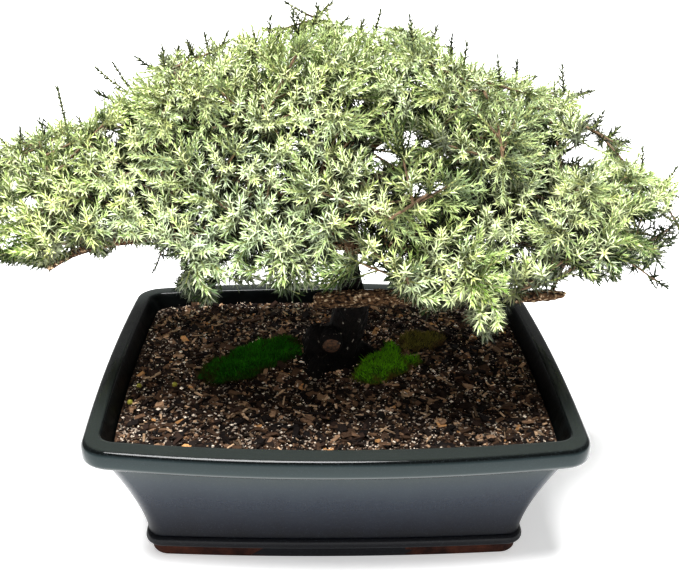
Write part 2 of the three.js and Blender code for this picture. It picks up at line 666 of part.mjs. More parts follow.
// Needles on all sides of a twig, each from the middle of the next of its three faces and leaning forward.
function needlesOf(twig) {
  const needles = [];
  const [side, other] = twig.frame;
  const final = twig.points.length - 1;
  let turn = Math.floor(3 * chance(twig.seed, 77));
  let rest = 3.5;
  for (let i = 1; i <= final; i++) {
    const along = twig.points[i].clone().sub(twig.points[i - 1]);
    const length = along.length();
    along.normalize();
    let d = rest;
    for (; d < length - (i === final ? 5.5 : 0); d += NEEDLE_STEP) {
      const angle = THIRD * (0.5 + turn) + 0.4 * (chance(twig.seed, turn) - 0.5);
      turn += 1;
      const way = along.clone().multiplyScalar(0.75).addScaledVector(side, Math.cos(angle));
      way.addScaledVector(other, Math.sin(angle)).normalize();
      const root = twig.points[i - 1].clone().addScaledVector(along, d);
      const points = [root, root.clone().addScaledVector(way, NEEDLE + 0.7)];
      needles.push({ points, frame: squareTo(way, along) });
    }
    rest = d - length;
  }
  return needles;
}

// A twig's core: it tapers a little and ends in a tip like a needle.
function core({ points, frame, first }) {
  const [before, tip] = points.slice(-2);
  const neck = tip.clone().lerp(before, Math.min(0.5, 5 / tip.distanceTo(before)));
  const radii = points.length === 3 ? AXIS_RADII : TWIG_RADII;
  return solid(shaft([...points.slice(0, -1), neck, tip], radii, frame, first));
}

// Sprays grow in turn: all axes, then all side twigs, then the needles. What would cross a neighbour is
// shortened, and left out if that doesn't clear it.
function growSprays() {
  const grown = SPRAYS.map((spray) => ({ name: nameOf(spray), twigs: twigsOf(spray), solids: [], kept: [] }));
  for (const round of [0, 1, 2, 3, 4, 5, 6]) {
    for (const item of grown) {
      const twig = item.twigs[round];
      if (!twig || twig.u > item.end) continue;
      const [foot, tip] = twig.points.slice(-2);
      const radius = round ? TWIG_RADII[1] : AXIS_RADII[1];
      const from = foot.clone().lerp(tip, 0.1);
      const free = (part) => clear([from, foot.clone().lerp(tip, part)], radius, item.name);
      const share = SHARES.find(free);
      if (!share && round) continue;
      twig.points[twig.points.length - 1] = foot.clone().lerp(tip, share || LEAST_SHARE);
      if (!round) item.end = 0.5 + 0.5 * (share || LEAST_SHARE);
      stand(twig.points.slice(-2), radius, item.name);
      item.kept.push(twig);
    }
  }
  for (const item of grown) {
    for (const twig of item.kept) {
      item.solids.push(core(twig));
      for (const { points, frame } of needlesOf(twig)) {
        if (!clear(points, NEEDLE_RADIUS, item.name)) continue;
        stand(points, NEEDLE_RADIUS, item.name);
        item.solids.push(solid(shaft(points, [NEEDLE_RADIUS], frame)));
      }
    }
  }
  return grown;
}

// The whole plant
const plant = new THREE.Group();
plant.add(pot());
plant.add(drainScreen(-1), drainScreen(1));

const screenPocket = [-1, 1].map((side) =>
  solid(new THREE.BoxGeometry(SCREEN[0] + 1, SCREEN[1] + 1, 5).translate(side * DRAIN_X, 0, FLOOR_TOP)),
);
const trunkHole = trunkFoot(0.45);
const soilCuts = joined([trunkHole, ...MOSS.map(mossHollow), ...screenPocket]);
plant.add(named(largest(soilBody().add(barkChips(10)).subtract(soilCuts)), "soil", 0x2a1a10, 0.95));
for (const moss of MOSS) {
  plant.add(named(largest(mossCushion(moss).subtract(trunkHole)), moss.name, moss.colour, 1));
}

plant.add(named(wood(), "trunk", 0x3b2a1e, 0.9));
for (const { name, solids } of growSprays()) {
  plant.add(named(largest(joined(solids)), name, 0x8fb08a, 0.7));
}

// Centre the footprint on the origin.
const box = new THREE.Box3().setFromObject(plant);
plant.position.set(-(box.min.x + box.max.x) / 2, -(box.min.y + box.max.y) / 2, 0);

export default plant;
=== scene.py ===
"""A juniper bonsai in its rectangular glazed pot: the finish of every piece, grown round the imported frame.

The rules of growth work in millimetres in the plant's own frame, whose origin is under the middle of the
pot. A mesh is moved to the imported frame, and scaled to metres, when it is made.
"""
import math

import bpy
import numpy as np
from mathutils import Matrix, Vector, noise
from mathutils.kdtree import KDTree


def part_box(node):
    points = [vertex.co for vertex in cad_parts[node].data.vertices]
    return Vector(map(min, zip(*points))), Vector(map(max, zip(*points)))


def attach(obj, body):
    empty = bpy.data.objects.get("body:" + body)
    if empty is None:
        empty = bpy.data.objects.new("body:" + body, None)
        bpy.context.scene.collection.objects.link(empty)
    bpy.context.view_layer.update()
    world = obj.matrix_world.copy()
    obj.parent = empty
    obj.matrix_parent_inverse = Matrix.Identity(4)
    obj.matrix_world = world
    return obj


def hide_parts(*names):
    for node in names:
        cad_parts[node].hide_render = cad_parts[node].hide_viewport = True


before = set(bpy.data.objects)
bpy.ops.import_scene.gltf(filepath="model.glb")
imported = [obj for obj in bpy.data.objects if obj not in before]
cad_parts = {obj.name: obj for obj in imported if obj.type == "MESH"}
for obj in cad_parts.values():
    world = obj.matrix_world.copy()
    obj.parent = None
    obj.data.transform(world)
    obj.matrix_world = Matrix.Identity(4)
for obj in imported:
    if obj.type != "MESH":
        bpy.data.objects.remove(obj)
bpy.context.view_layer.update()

MM = 0.001
pot_low, pot_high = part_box("pot")
SHIFT = np.array([(pot_low.x + pot_high.x) / 2, (pot_low.y + pot_high.y) / 2, 0.0])

# Sizes of the solids, as they were made
GAP = 0.3
POT_HEIGHT = 81.4
RIM_HALF = (130.5, 112)
RIM_BOW = (2.5, 9)
RIM_CORNER = 16
RIM_FLAT = (9.7, 13)
LIP_HEIGHT = 11
WALL_TOP = (122.5, 104)
WALL_BOTTOM = (101.8, 80.8)
WALL_BOWS = ((1, 3), (2.5, 9))
WALL_CORNERS = (10, 11)
WALL_THICK = 6
FOOT_HEIGHT = 7
BEAD_TOP = 13.5
ARCH_RISE = 4.6
ARCH_TOP = (38, 26)
ARCH_FOOT = (60, 44)
FLOOR_TOP = 11.5
DRAIN_X = 45
DRAIN_RADIUS = 7
SCREEN = (22, 22, 1.2)
SOIL_EDGE = 72
SOIL_MOUND = 7
AXIS_RADIUS = 2
AXIS_BEND_RADIUS = 1.7
TWIG_RADIUS = 0.9
PEG_RADIUS = 1.2
PEG_LENGTH = 5
AXIS_PART = (17, 38)
AXIS_ROOM = 36
TWIG_GAP = 14
TWIG_LONGEST = 34
CROWN_EDGE = 0.96
REACH = 183
SHARES = (1, 0.8, 0.62, 0.46, 0.3, 0.2)
LEAST_SHARE = 0.12
FAN_RISE = (-0.9, 0.7)

# The camera, fitted to the pot's outline in the photograph
CAMERA_PLACE = (-15.7, -517.2, 346.1)
CAMERA_DOWN = 23.09  # degrees, like the next two
CAMERA_YAW = 2.04
CAMERA_ROLL = 0.96
CAMERA_FOCUS = 996.8  # in pixels of a frame 679 wide
FRAME = (679, 573)
SENSOR = 36

UP = np.array([0.0, 0.0, 1.0])
BACK = np.array([0.0, 1.0, 0.0])
GOLDEN = math.pi * (3 - math.sqrt(5))

# Trunk: x, y, z and radius
TRUNK = (
    (0, 3, 46, 9),
    (0, 3, 66, 15),
    (0, 3, 78, 18.5),
    (2, 3, 86, 14.5),
    (6, 2, 96, 11),
    (9, 1, 108, 10.2),
    (9, 0, 118, 9.8),
    (9, 1, 127, 6.6),
    (8, 2, 138, 5.4),
    (9, 3, 148, 3.8),
    (8, 4, 158, 4.6),
)
ROOTS = ((0.2, 40, 5), (2.2, 38, 5), (4.2, 40, 5.4))  # heading, reach, radius

# Limbs: name, sprays, rise of its side sprays, where they stand, radii, path, and whether it ends cut off
LIMBS = (
    ("low_right", 3, 0.3, (0.36, 0.94), (4.9, 3.3),
     ((-12, -7, 120), (40, -14, 127), (88, -10, 122), (129, -5, 123)), True),
    ("leader", 2, -0.2, (0.66, 0.84), (4.2, 1.8),
     ((8, 4, 154), (6, 6, 185), (-8, 10, 205), (-2, 12, 232)), False),
    ("crown_left", 1, 0.9, (0.6, 0.6), (2.4, 1.6),
     ((1, 8, 200), (-12, 8, 222), (-30, 4, 234), (-48, 4, 236)), False),
    ("crown_right", 1, 0.9, (0.5, 0.5), (2.4, 1.6),
     ((1, 8, 196), (12, 14, 220), (20, 26, 232), (28, 40, 232)), False),
    ("left_high", 4, 0.65, (0.4, 0.8), (3, 1.6),
     ((6, 6, 172), (-25, 14, 205), (-65, 22, 220), (-108, 18, 212)), False),
    ("left_wing", 4, 0.35, (0.36, 0.84), (3.4, 1.6),
     ((7, 2, 150), (-40, -18, 160), (-80, -22, 162), (-142, -4, 182)), False),
    ("left_stub", 2, 0.35, (0.4, 0.76), (2.6, 2.1),
     ((-75, -15, 164), (-104, -22, 162), (-140, -14, 156), (-157, -6, 139)), True),
    ("left_back", 4, 0.1, (0.35, 0.85), (2.8, 1.6),
     ((6, 8, 160), (-24, 36, 182), (-60, 48, 180), (-100, 48, 164)), False),
    ("back", 3, 0.4, (0.6, 0.75), (2.6, 1.6),
     ((5, 10, 172), (10, 34, 200), (14, 50, 204), (16, 62, 192)), False),
    ("right_back", 4, 0.1, (0.35, 0.85), (2.8, 1.6),
     ((6, 8, 166), (34, 34, 184), (70, 46, 180), (108, 46, 164)), False),
    ("right_high", 4, 0.65, (0.4, 0.8), (2.8, 1.6),
     ((4, 8, 190), (30, 14, 218), (62, 12, 228), (92, 4, 222)), False),
    ("right_wing", 4, 0.25, (0.36, 0.8), (3.2, 1.6),
     ((9, 2, 146), (50, 8, 164), (92, -6, 164), (128, 2, 178)), False),
    ("right_low", 2, 0.15, (0.6, 0.6), (2.2, 1.6),
     ((70, 1, 163), (92, -16, 160), (106, -22, 158), (120, -20, 158)), False),
    ("front_left", 2, 0, (0.5, 0.8), (2.6, 1.6),
     ((6, 1, 156), (-18, -16, 170), (-32, -30, 176), (-42, -42, 174)), False),
    ("front", 2, 0.1, (0.6, 0.6), (2.6, 1.6),
     ((7, 4, 166), (8, -16, 190), (10, -34, 198), (14, -46, 194)), False),
    ("low_front", 1, 0, (0.6, 0.6), (2.4, 1.6),
     ((8, -1, 146), (8, -20, 162), (2, -34, 170), (-6, -44, 170)), False),
    ("front_right", 3, 0, (0.4, 0.75), (2.6, 1.6),
     ((10, 0, 150), (28, -16, 162), (42, -32, 160), (50, -40, 153)), False),
    ("high_left_front", 3, 0.3, (0.45, 0.75), (2.6, 1.6),
     ((5, 6, 184), (-24, -10, 210), (-50, -26, 214), (-74, -34, 208)), False),
    ("high_right_front", 3, 0.3, (0.54, 0.8), (2.6, 1.6),
     ((5, 6, 178), (34, -8, 202), (58, -22, 208), (80, -28, 202)), False),
)
LONG_LIMB = 77  # limbs that end further out than this have four straight lengths, the others three
SWAPPED = ("left_high",)  # limbs whose side sprays start on the other side
FANNED = ("left_back", "right_back")  # limbs whose side sprays all stand on the outer side

# The crown, which the sprays grow out to: its top at places from left to right, its foot, its half width and
# half depth, and its underside, which slopes down to the back and lies higher at the far left
CROWN_X = (-200, -160, -130, -100, -60, -10, 10, 45, 70, 112, 122, 145, 200)
CROWN_TOP = (203, 213, 222, 246, 260, 274, 268, 266, 250, 240, 241, 204, 186)
CROWN_FOOT = 108
CROWN_HALF = (208, 92)
CROWN_BULGE = 2.4
CROWN_MIDDLE = -3
CROWN_UNDER, CROWN_SLOPE, CROWN_SOFT = 126, 0.42, 15
CROWN_LEFT, CROWN_LIFT = (-70, -100), 22

# Moss: node, middle, half length and width, heading, height
MOSS = (
    ("moss_left", (-44, 1), (34, 15), 0.82, 6),
    ("moss_right", (27, -13), (19, 12), 0.75, 6.5),
    ("moss_brown", (53, 25), (14, 11), 0.3, 5.5),
)


# Vectors

def unit(v):
    return v / math.sqrt(v @ v)


def units(vs):
    return vs / np.linalg.norm(vs, axis=-1, keepdims=True)


def square_to(heading, near):
    side = unit(near - heading * (near @ heading))
    return side, np.cross(heading, side)


def axes_of(heading, steep=0.9):
    """Two ways square to a heading, the first as near to up as can be unless the heading itself is steep."""
    return square_to(heading, BACK if abs(heading[2]) > steep else UP)


def between(a, b, t):
    return a + (b - a) * t


def halfway(points, t):
    """The point at a share of the way along three points, with the middle one at half."""
    start, middle, end = points
    return between(start, middle, t * 2) if t < 0.5 else between(middle, end, t * 2 - 1)


def rising(value, start, over):
    """0 before a start, and 1 from a distance over it on."""
    return np.clip((value - start) / over, 0, 1)


def full_turn(count):
    return np.arange(count) / count * 2 * math.pi


def level(x, y, z):
    """Points at one height."""
    return np.column_stack([x, y, np.full(len(x), float(z))])


def chance(a, b=0):
    """The same number between 0 and 1 for the same two counts."""
    s = math.sin(a * 127.1 + b * 311.7) * 43758.5453
    return s - math.floor(s)


# The skeleton of the tree, grown by the rule of the solids

class Limb:
    def __init__(self, index, row):
        self.name, self.sprays, self.rise, self.part, self.radius, path, self.cut = row
        self.index = index
        self.path = np.array(path, float)
        self.lengths = 4 if math.hypot(*self.path[3][:2]) > LONG_LIMB else 3
        self.bones = [self.at(i / self.lengths) for i in range(self.lengths + 1)]

    def at(self, t):
        p, q = self.path, 1 - t
        return q**3 * p[0] + 3 * q * q * t * p[1] + 3 * q * t * t * p[2] + t**3 * p[3]

    def tangent(self, t):
        p, q = self.path, 1 - t
        return unit(q * q * (p[1] - p[0]) + 2 * q * t * (p[2] - p[1]) + t * t * (p[3] - p[2]))

    def on_bones(self, t):
        place = min(t * self.lengths, self.lengths - 1e-6)
        i = int(place)
        return between(self.bones[i], self.bones[i + 1], place - i)

    def radius_at(self, t):
        return between(*self.radius, t)


def crown_share(points, open_below=False):
    """0 deep inside the crown and 1 on its outside, or the same without its underside."""
    x, y, z = np.asarray(points, float).T
    at, tops = np.array(CROWN_X), np.array(CROWN_TOP)
    i = np.clip(np.searchsorted(at, x), 1, len(at) - 1)
    top = between(tops[i - 1], tops[i], (x - at[i - 1]) / (at[i] - at[i - 1]))
    depth = CROWN_HALF[1] * np.sqrt(np.maximum(0.02, 1 - np.abs(x / CROWN_HALF[0]) ** 2.6))
    high = np.maximum(0, (z - CROWN_FOOT) / (top - CROWN_FOOT))
    left = rising(x, CROWN_LEFT[0], CROWN_LEFT[1] - CROWN_LEFT[0])
    low = np.maximum(0, (CROWN_UNDER - CROWN_SLOPE * y + CROWN_LIFT * left - z) / CROWN_SOFT)
    share = high**CROWN_BULGE + np.abs((y - CROWN_MIDDLE) / depth) ** CROWN_BULGE
    return share if open_below else share + low


def in_dome(p):
    return crown_share(p) < CROWN_EDGE and abs(p[0]) < REACH and p[2] > CROWN_FOOT + 4


def along_crown(start, way, length):
    """A way, turned along the crown's outside where a length of it would lead out."""
    end = start + way * length
    if in_dome(end):
        return way
    out = unit(crown_share(end + np.eye(3)) - crown_share(end))
    return unit(way - out * max(0, way @ out))


def length_inside(start, way, lengths):
    """The length from a point along a way, between two lengths, that stays in the crown."""
    length, longest = lengths
    while length < longest and in_dome(start + way * (length + 2)):
        length += 2
    return length


class Room:
    """The segments that stand already, each with a radius and an owner."""

    def __init__(self):
        self.starts, self.ends, self.radii, self.owners = [], [], [], []

    def stand(self, start, end, radius, owner):
        self.starts.append(start)
        self.ends.append(end)
        self.radii.append(radius)
        self.owners.append(owner)

    def clear(self, start, end, radius, owner):
        q, radii = np.array(self.starts), np.array(self.radii)
        u, v, w = end - start, np.array(self.ends) - q, start - q
        uu, uv, vv = u @ u, v @ u, np.sum(v * v, axis=1)
        uw, vw = w @ u, np.sum(v * w, axis=1)
        flat = uu * vv - uv * uv
        s = np.where(flat > 1e-9, np.clip((uv * vw - vv * uw) / np.maximum(flat, 1e-9), 0, 1), 0)
        t = np.clip((uv * s + vw) / vv, 0, 1)
        s = np.clip((uv * t - uw) / uu, 0, 1)
        away = np.linalg.norm(w + s[:, None] * u - t[:, None] * v, axis=1)
        others = np.array([o != owner for o in self.owners])
        return not np.any(others & (away <= radius + radii + GAP))


class Spray:
    def __init__(self, limb, index, root, heading, at_tip):
        self.limb, self.index, self.root, self.heading, self.at_tip = limb, index, root, heading, at_tip
        self.name = f"spray_{limb.name}_{index + 1}"
        self.axis = (root, root + heading * AXIS_ROOM, AXIS_RADIUS, self.name)
        self.twigs = []


def turned(v, axis, angle):
    c, s = math.cos(angle), math.sin(angle)
    return v * c + np.cross(axis, v) * s + axis * (axis @ v) * (1 - c)


SHIFTS = (0, 0.06, -0.06, 0.12, -0.12, 0.18, -0.18)  # of a side spray along its limb, as shares of the limb
TURNS = (0, 0.4, -0.4, 0.8, -0.8, 1.2, -1.2)  # and round it, as angles


def settled_spray(room, limb, index):
    """A side spray, turned round its limb and moved along it until its peg and its axis are clear."""
    last = limb.sprays - (1 if limb.cut else 2)
    for shift in SHIFTS:
        t = between(*limb.part, index / last if last else 0) + shift
        foot, along = limb.on_bones(t), limb.tangent(t)
        side = unit(np.cross(along, UP)) * (1 if (index + (limb.name in SWAPPED)) % 2 else -1)
        rise = limb.rise
        if limb.name in FANNED:
            side = side * (1 if side[1] * foot[1] > 0 else -1)
            rise = FAN_RISE[index % 2]
        straight = unit(along * 0.6 + side * 0.8 + UP * (rise + 0.3 * chance(limb.index, index + 40)))
        for turn in TURNS:
            heading = turned(straight, along, turn)
            root = foot + heading * (limb.radius_at(t) + PEG_LENGTH)
            spray = Spray(limb, index, root, heading, False)
            spray.foot = foot
            if room.clear(foot, root, PEG_RADIUS, limb.name) and room.clear(*spray.axis):
                return spray
    raise RuntimeError("no room for a spray on " + limb.name)


def place_sprays(room, limbs):
    for a, b in zip(TRUNK, TRUNK[1:]):
        room.stand(np.array(a[:3], float), np.array(b[:3], float), max(a[3], b[3]), "trunk")
    for limb in limbs:
        for i in range(limb.lengths):
            room.stand(limb.bones[i], limb.bones[i + 1], limb.radius_at(i / limb.lengths), limb.name)
    sprays = []
    for limb in limbs:
        if not limb.cut:
            heading = unit(limb.bones[-1] - limb.bones[-2])
            sprays.append(Spray(limb, limb.sprays - 1, limb.bones[-1], heading, True))
            room.stand(*sprays[-1].axis)
    for limb in limbs:
        for index in range(limb.sprays - (0 if limb.cut else 1)):
            spray = settled_spray(room, limb, index)
            room.stand(spray.foot, spray.root - spray.heading, PEG_RADIUS + 0.2, limb.name)
            room.stand(*spray.axis)
            sprays.append(spray)
    return sprays


def twigs_of(spray):
    """An axis of two straight lengths and its side twigs, each with its place on the axis."""
    heading = spray.heading
    seed = spray.limb.index * 17 + spray.index
    lift = 0.3 + 0.4 * spray.limb.rise if spray.at_tip else 0.3
    start = spray.root + heading * GAP
    bend = start + heading * length_inside(start, heading, AXIS_PART)
    later = along_crown(bend, unit(heading + UP * lift), AXIS_PART[1])
    tip = bend + later * length_inside(bend, later, AXIS_PART)
    length = np.linalg.norm(start - bend) + np.linalg.norm(bend - tip)
    side, other = axes_of(heading, 0.95)
    twigs = [([start, bend, tip], 0)]
    count = int(np.clip(math.floor(length / TWIG_GAP + 0.5), 3, 6))
    for k in range(count):
        u = 0.2 + 0.6 * k / (count - 1)
        foot = halfway((start, bend, tip), u)
        along = heading if u < 0.5 else later
        way = along * 0.75 + other * (0.8 if k % 2 else -0.8) + side * (0.32 + 0.28 * chance(seed, k))
        reach = min(TWIG_LONGEST, length * (0.8 - 0.5 * u)) * (0.85 + 0.3 * chance(seed, k + 9))
        twigs.append(([foot, foot + along_crown(foot, unit(way), reach) * reach], u))
    return twigs


def grow_twigs(room, sprays):
    """Twigs that would cross a neighbour are shortened, or left out."""
    grown = [twigs_of(spray) for spray in sprays]
    ends = {}
    for turn in range(7):
        for spray, twigs in zip(sprays, grown):
            if turn >= len(twigs) or twigs[turn][1] > ends.get(spray.name, 1):
                continue
            points = twigs[turn][0]
            foot, tip = points[-2:]
            radius = TWIG_RADIUS if turn else AXIS_BEND_RADIUS
            start = between(foot, tip, 0.1)
            clear = (s for s in SHARES if room.clear(start, between(foot, tip, s), radius, spray.name))
            share = next(clear, None)
            if share is None and turn:
                continue
            points[-1] = between(foot, tip, share or LEAST_SHARE)
            if turn == 0:
                ends[spray.name] = 0.5 + 0.5 * (share or LEAST_SHARE)
            room.stand(foot, points[-1], radius, spray.name)
            spray.twigs.append(np.array(points))


# Meshes

def placed(name, data):
    """A new object of the scene."""
    made = bpy.data.objects.new(name, data)
    bpy.context.scene.collection.objects.link(made)
    return made


class Skin:
    """Points and triangles of one piece, in millimetres, each triangle with a material and a tint."""

    def __init__(self):
        self.points, self.faces, self.slots, self.tints, self.count = [], [], [], [], 0

    def add(self, points, faces, slot=0, tint=(1, 1, 1)):
        faces = np.asarray(faces)
        self.points.append(np.asarray(points, float))
        self.faces.append(faces + self.count)
        self.slots.append(np.full(len(faces), slot))
        self.tints.append(np.broadcast_to(np.asarray(tint, float), (len(faces), 3)))
        self.count += len(points)

    def make(self, name, materials, smooth=False):
        points = np.concatenate(self.points) * MM + SHIFT
        faces = np.concatenate(self.faces).astype(np.int32)
        mesh = bpy.data.meshes.new(name)
        mesh.vertices.add(len(points))
        mesh.vertices.foreach_set("co", points.astype(np.float32).ravel())
        mesh.loops.add(faces.size)
        mesh.loops.foreach_set("vertex_index", faces.ravel())
        mesh.polygons.add(len(faces))
        mesh.polygons.foreach_set("loop_start", np.arange(0, faces.size, 3, dtype=np.int32))
        mesh.polygons.foreach_set("material_index", np.concatenate(self.slots).astype(np.int32))
        mesh.polygons.foreach_set("use_smooth", np.full(len(faces), smooth))
        tint = mesh.attributes.new("tint", "FLOAT_COLOR", "CORNER")
        colours = np.ones((len(faces), 3, 4), np.float32)
        colours[:, :, :3] = np.concatenate(self.tints)[:, None, :]
        tint.data.foreach_set("color", colours.ravel())
        for material in materials:
            mesh.materials.append(material)
        mesh.update()
        mesh.validate()
        return placed(name, mesh)


def piece(made, slot, *nodes):
    """A piece of the one body, set under its root, with the nodes it stands for hidden; the slot is not used.
    """
    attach(made, "root")
    if nodes:
        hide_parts(*nodes)


def grid_faces(rows, sides):
    """Triangles of a tube of rings; its ends are fans round the two points after the rings."""
    r, i = np.meshgrid(np.arange(rows - 1), np.arange(sides), indexing="ij")
    j = (i + 1) % sides
    a, b, c, d = r * sides + i, r * sides + j, (r + 1) * sides + j, (r + 1) * sides + i
    walls = [np.stack([a, b, c], -1).reshape(-1, 3), np.stack([a, c, d], -1).reshape(-1, 3)]
    k = np.arange(sides)
    n = (k + 1) % sides
    top, first = (rows - 1) * sides, np.full(sides, rows * sides)
    fans = [np.stack([first, n, k], -1), np.stack([first + 1, top + k, top + n], -1)]
    return np.concatenate(walls + fans)


def tube(points, radii, sides):
    """Points and triangles of a closed tube through points, with one radius each."""
    points = np.asarray(points, float)
    ahead = np.vstack([points[1:], points[-1:] * 2 - points[-2:-1]])
    behind = np.vstack([points[:1] * 2 - points[1:2], points[:-1]])
    headings = units(ahead - behind)
    side = axes_of(headings[0])[0]
    angles = full_turn(sides)[:, None]
    rings = []
    for p, heading, radius in zip(points, headings, radii):
        side = unit(side - heading * (side @ heading))
        rings.append(p + (np.cos(angles) * side + np.sin(angles) * np.cross(heading, side)) * radius)
    body = np.vstack(rings + [points[:1], points[-1:]])
    return body, grid_faces(len(points), sides)


# Materials

MIX_A, MIX_B, MIX_RESULT = 6, 7, 2  # the sockets for colours on a mix node
NOISE_ROUGH = 0.55


class Nodes:
    """Short forms for building a material's nodes."""

    def __init__(self, name):
        self.material = bpy.data.materials.new(name)
        self.material.use_nodes = True
        self.tree = self.material.node_tree
        self.shader = self.tree.nodes["Principled BSDF"]

    def add(self, kind, inputs=(), **settings):
        node = self.tree.nodes.new(kind)
        for key, value in settings.items():
            setattr(node, key, value)
        for key, value in dict(inputs).items():
            self.put(node.inputs[key], value)
        return node

    def put(self, socket, value):
        if isinstance(value, bpy.types.NodeSocket):
            self.tree.links.new(value, socket)
        else:
            socket.default_value = value

    def place(self):
        return self.add("ShaderNodeTexCoord").outputs["Object"]

    def tint(self):
        return self.add("ShaderNodeAttribute", attribute_name="tint").outputs["Color"]

    def split(self, colour):
        return self.add("ShaderNodeSeparateColor", {"Color": colour}).outputs

    def noise(self, scale, detail, vector=None):
        inputs = {"Scale": scale, "Detail": detail, "Roughness": NOISE_ROUGH}
        return self.add("ShaderNodeTexNoise", {"Vector": vector or self.place(), **inputs}).outputs["Fac"]

    def stretched(self, x, y, z):
        return self.add("ShaderNodeMapping", {"Vector": self.place(), "Scale": (x, y, z)}).outputs["Vector"]

    def ramp(self, fac, *stops):
        node = self.add("ShaderNodeValToRGB", {"Fac": fac})
        ramp = node.color_ramp
        while len(ramp.elements) < len(stops):
            ramp.elements.new(1.0)
        for element, (position, colour) in zip(ramp.elements, stops):
            element.position = position
            element.color = (*colour, 1) if isinstance(colour, tuple) else (colour, colour, colour, 1)
        return node.outputs["Color"]

    def mix(self, fac, a, b, blend="MIX"):
        node = self.add("ShaderNodeMix", data_type="RGBA", blend_type=blend, clamp_factor=True)
        self.put(node.inputs["Factor"], fac)
        for key, value in ((MIX_A, a), (MIX_B, b)):
            self.put(node.inputs[key], (*value, 1) if isinstance(value, tuple) else value)
        return node.outputs[MIX_RESULT]

    def math(self, operation, a, b=0.5):
        return self.add("ShaderNodeMath", {0: a, 1: b}, operation=operation).outputs[0]

    def bump(self, height, distance, strength=1.0):
        return self.add(
            "ShaderNodeBump", {"Height": height, "Distance": distance, "Strength": strength}
        ).outputs["Normal"]

    def matte(self, colour, rough, sheen, height, distance):
        bump = self.bump(height, distance)
        return self.finish(Base_Color=colour, Roughness=rough, Specular_IOR_Level=sheen, Normal=bump)

    def finish(self, **sockets):
        for key, value in sockets.items():
            self.put(self.shader.inputs[key.replace("_", " ")], value)
        return self.material


def needle_material():
    """Tint: red is the shoot's tone, green the bloomed upper side, blue the painted shade and youth, from
    dark deep in the crown to young tips.
    """
    n = Nodes("needles")
    tone, upper, shade_and_youth = n.split(n.tint())
    patch = n.noise(14, 2)
    under = n.mix(tone, (0.008, 0.045, 0.012), (0.09, 0.19, 0.01))
    bloom = n.mix(tone, (0.82, 0.97, 0.66), (0.96, 1.0, 0.42))
    green = n.mix(n.ramp(patch, (0.42, 0.0), (0.6, 1.0)), under, n.mix(0.5, under, (0.18, 0.33, 0.03)))
    colour = n.mix(upper, green, bloom)
    colour = n.mix(n.ramp(shade_and_youth, (0.5, 0.0), (1.0, 0.45)), colour, (0.7, 0.86, 0.3))
    # Painted shade: the tint's blue darkens needles deep in the crown and at the foot of each shoot
    colour = n.mix(1.0, colour, n.ramp(shade_and_youth, (0.0, 0.05), (0.5, 1.0)), "MULTIPLY")
    return n.finish(Base_Color=colour, Roughness=0.5, Specular_IOR_Level=0.2)


def grained(name, size, detail, dark, light, rough, raised=0.0, along=None, **sockets):
    """A material whose noise runs from a dark stop to a light one and can be raised by a distance."""
    n = Nodes(name)
    grain = n.noise(size, detail, vector=n.stretched(*along) if along else None)
    if raised:
        sockets["Normal"] = n.bump(grain, raised)
    return n.finish(Base_Color=n.ramp(grain, dark, light), Roughness=rough, **sockets)


FOLIAGE = (
    needle_material(),
    grained(
        "twig_bark", 700, 3, (0.3, (0.05, 0.028, 0.014)), (0.65, (0.2, 0.12, 0.06)), 0.8, 0.0003, (1, 1, 0.3)
    ),
    grained("young_stem", 500, 2, (0.3, (0.09, 0.14, 0.03)), (0.7, (0.26, 0.26, 0.08)), 0.6),
)
TWIG, STEM = 1, 2  # their places among the materials of foliage


# Foliage

NEEDLE = 7.4  # length of the longest
NEEDLE_SHORT = 4.0  # length high in the crown
NEEDLE_LOW, NEEDLE_RISE = 130, 28  # they are longest up to a height, and lose a millimetre with each rise
NEEDLE_HALF = 0.62  # half the greatest width
NEEDLE_KEEL = 0.42  # how far the keel hangs down
BUD_LEAN, BUD_LENGTH = 0.25, 0.55  # needles at a tip: angle to the shoot, and share of the others' length
STEM_RADII = (0.55, 0.45, 0.3)
WHORL = 1.9  # from one whorl of three to the next
# Needles are painted with full light on the outside of the crown and with painted shade deep inside: the
# share of the crown from which the painted light grows and the share over which it does so, then the same for
# the yellow tone, and for how far a shoot is to the left or right, which gives a half at most
SHADE_FROM, SHADE_DEEP = 0.55, 0.35
YELLOW_FROM, YELLOW_DEEP = 0.72, 0.15
SIDE_FROM, SIDE_DEEP, SIDE_LIGHT = 135, 20, 0.5
LOOSE_LIGHT = 0.1  # painted light of shoots that stand out alone: they are painted darker
BLOOM, BLOOM_FROM, BLOOM_DEEP = 0.28, 150, 45  # on the greener sides too, growing with the height and with the painted light
LENS_FACES = np.array([[0, 1, 2], [1, 4, 2], [0, 3, 1], [0, 2, 3], [1, 3, 4], [3, 2, 4]])
LENS_UPPER = np.array([1, 1, 0, 0, 0, 0])
AWL_FACES = np.array([[0, 1, 3], [1, 2, 3], [2, 0, 3], [1, 0, 2]])  # also those of a tuft of moss
AWL_UPPER = np.array([1, 0, 0, 0])


def needle_length(z):
    """Needles are longest on the low shoots."""
    return float(np.clip(NEEDLE - (z - NEEDLE_LOW) / NEEDLE_RISE, NEEDLE_SHORT, NEEDLE))


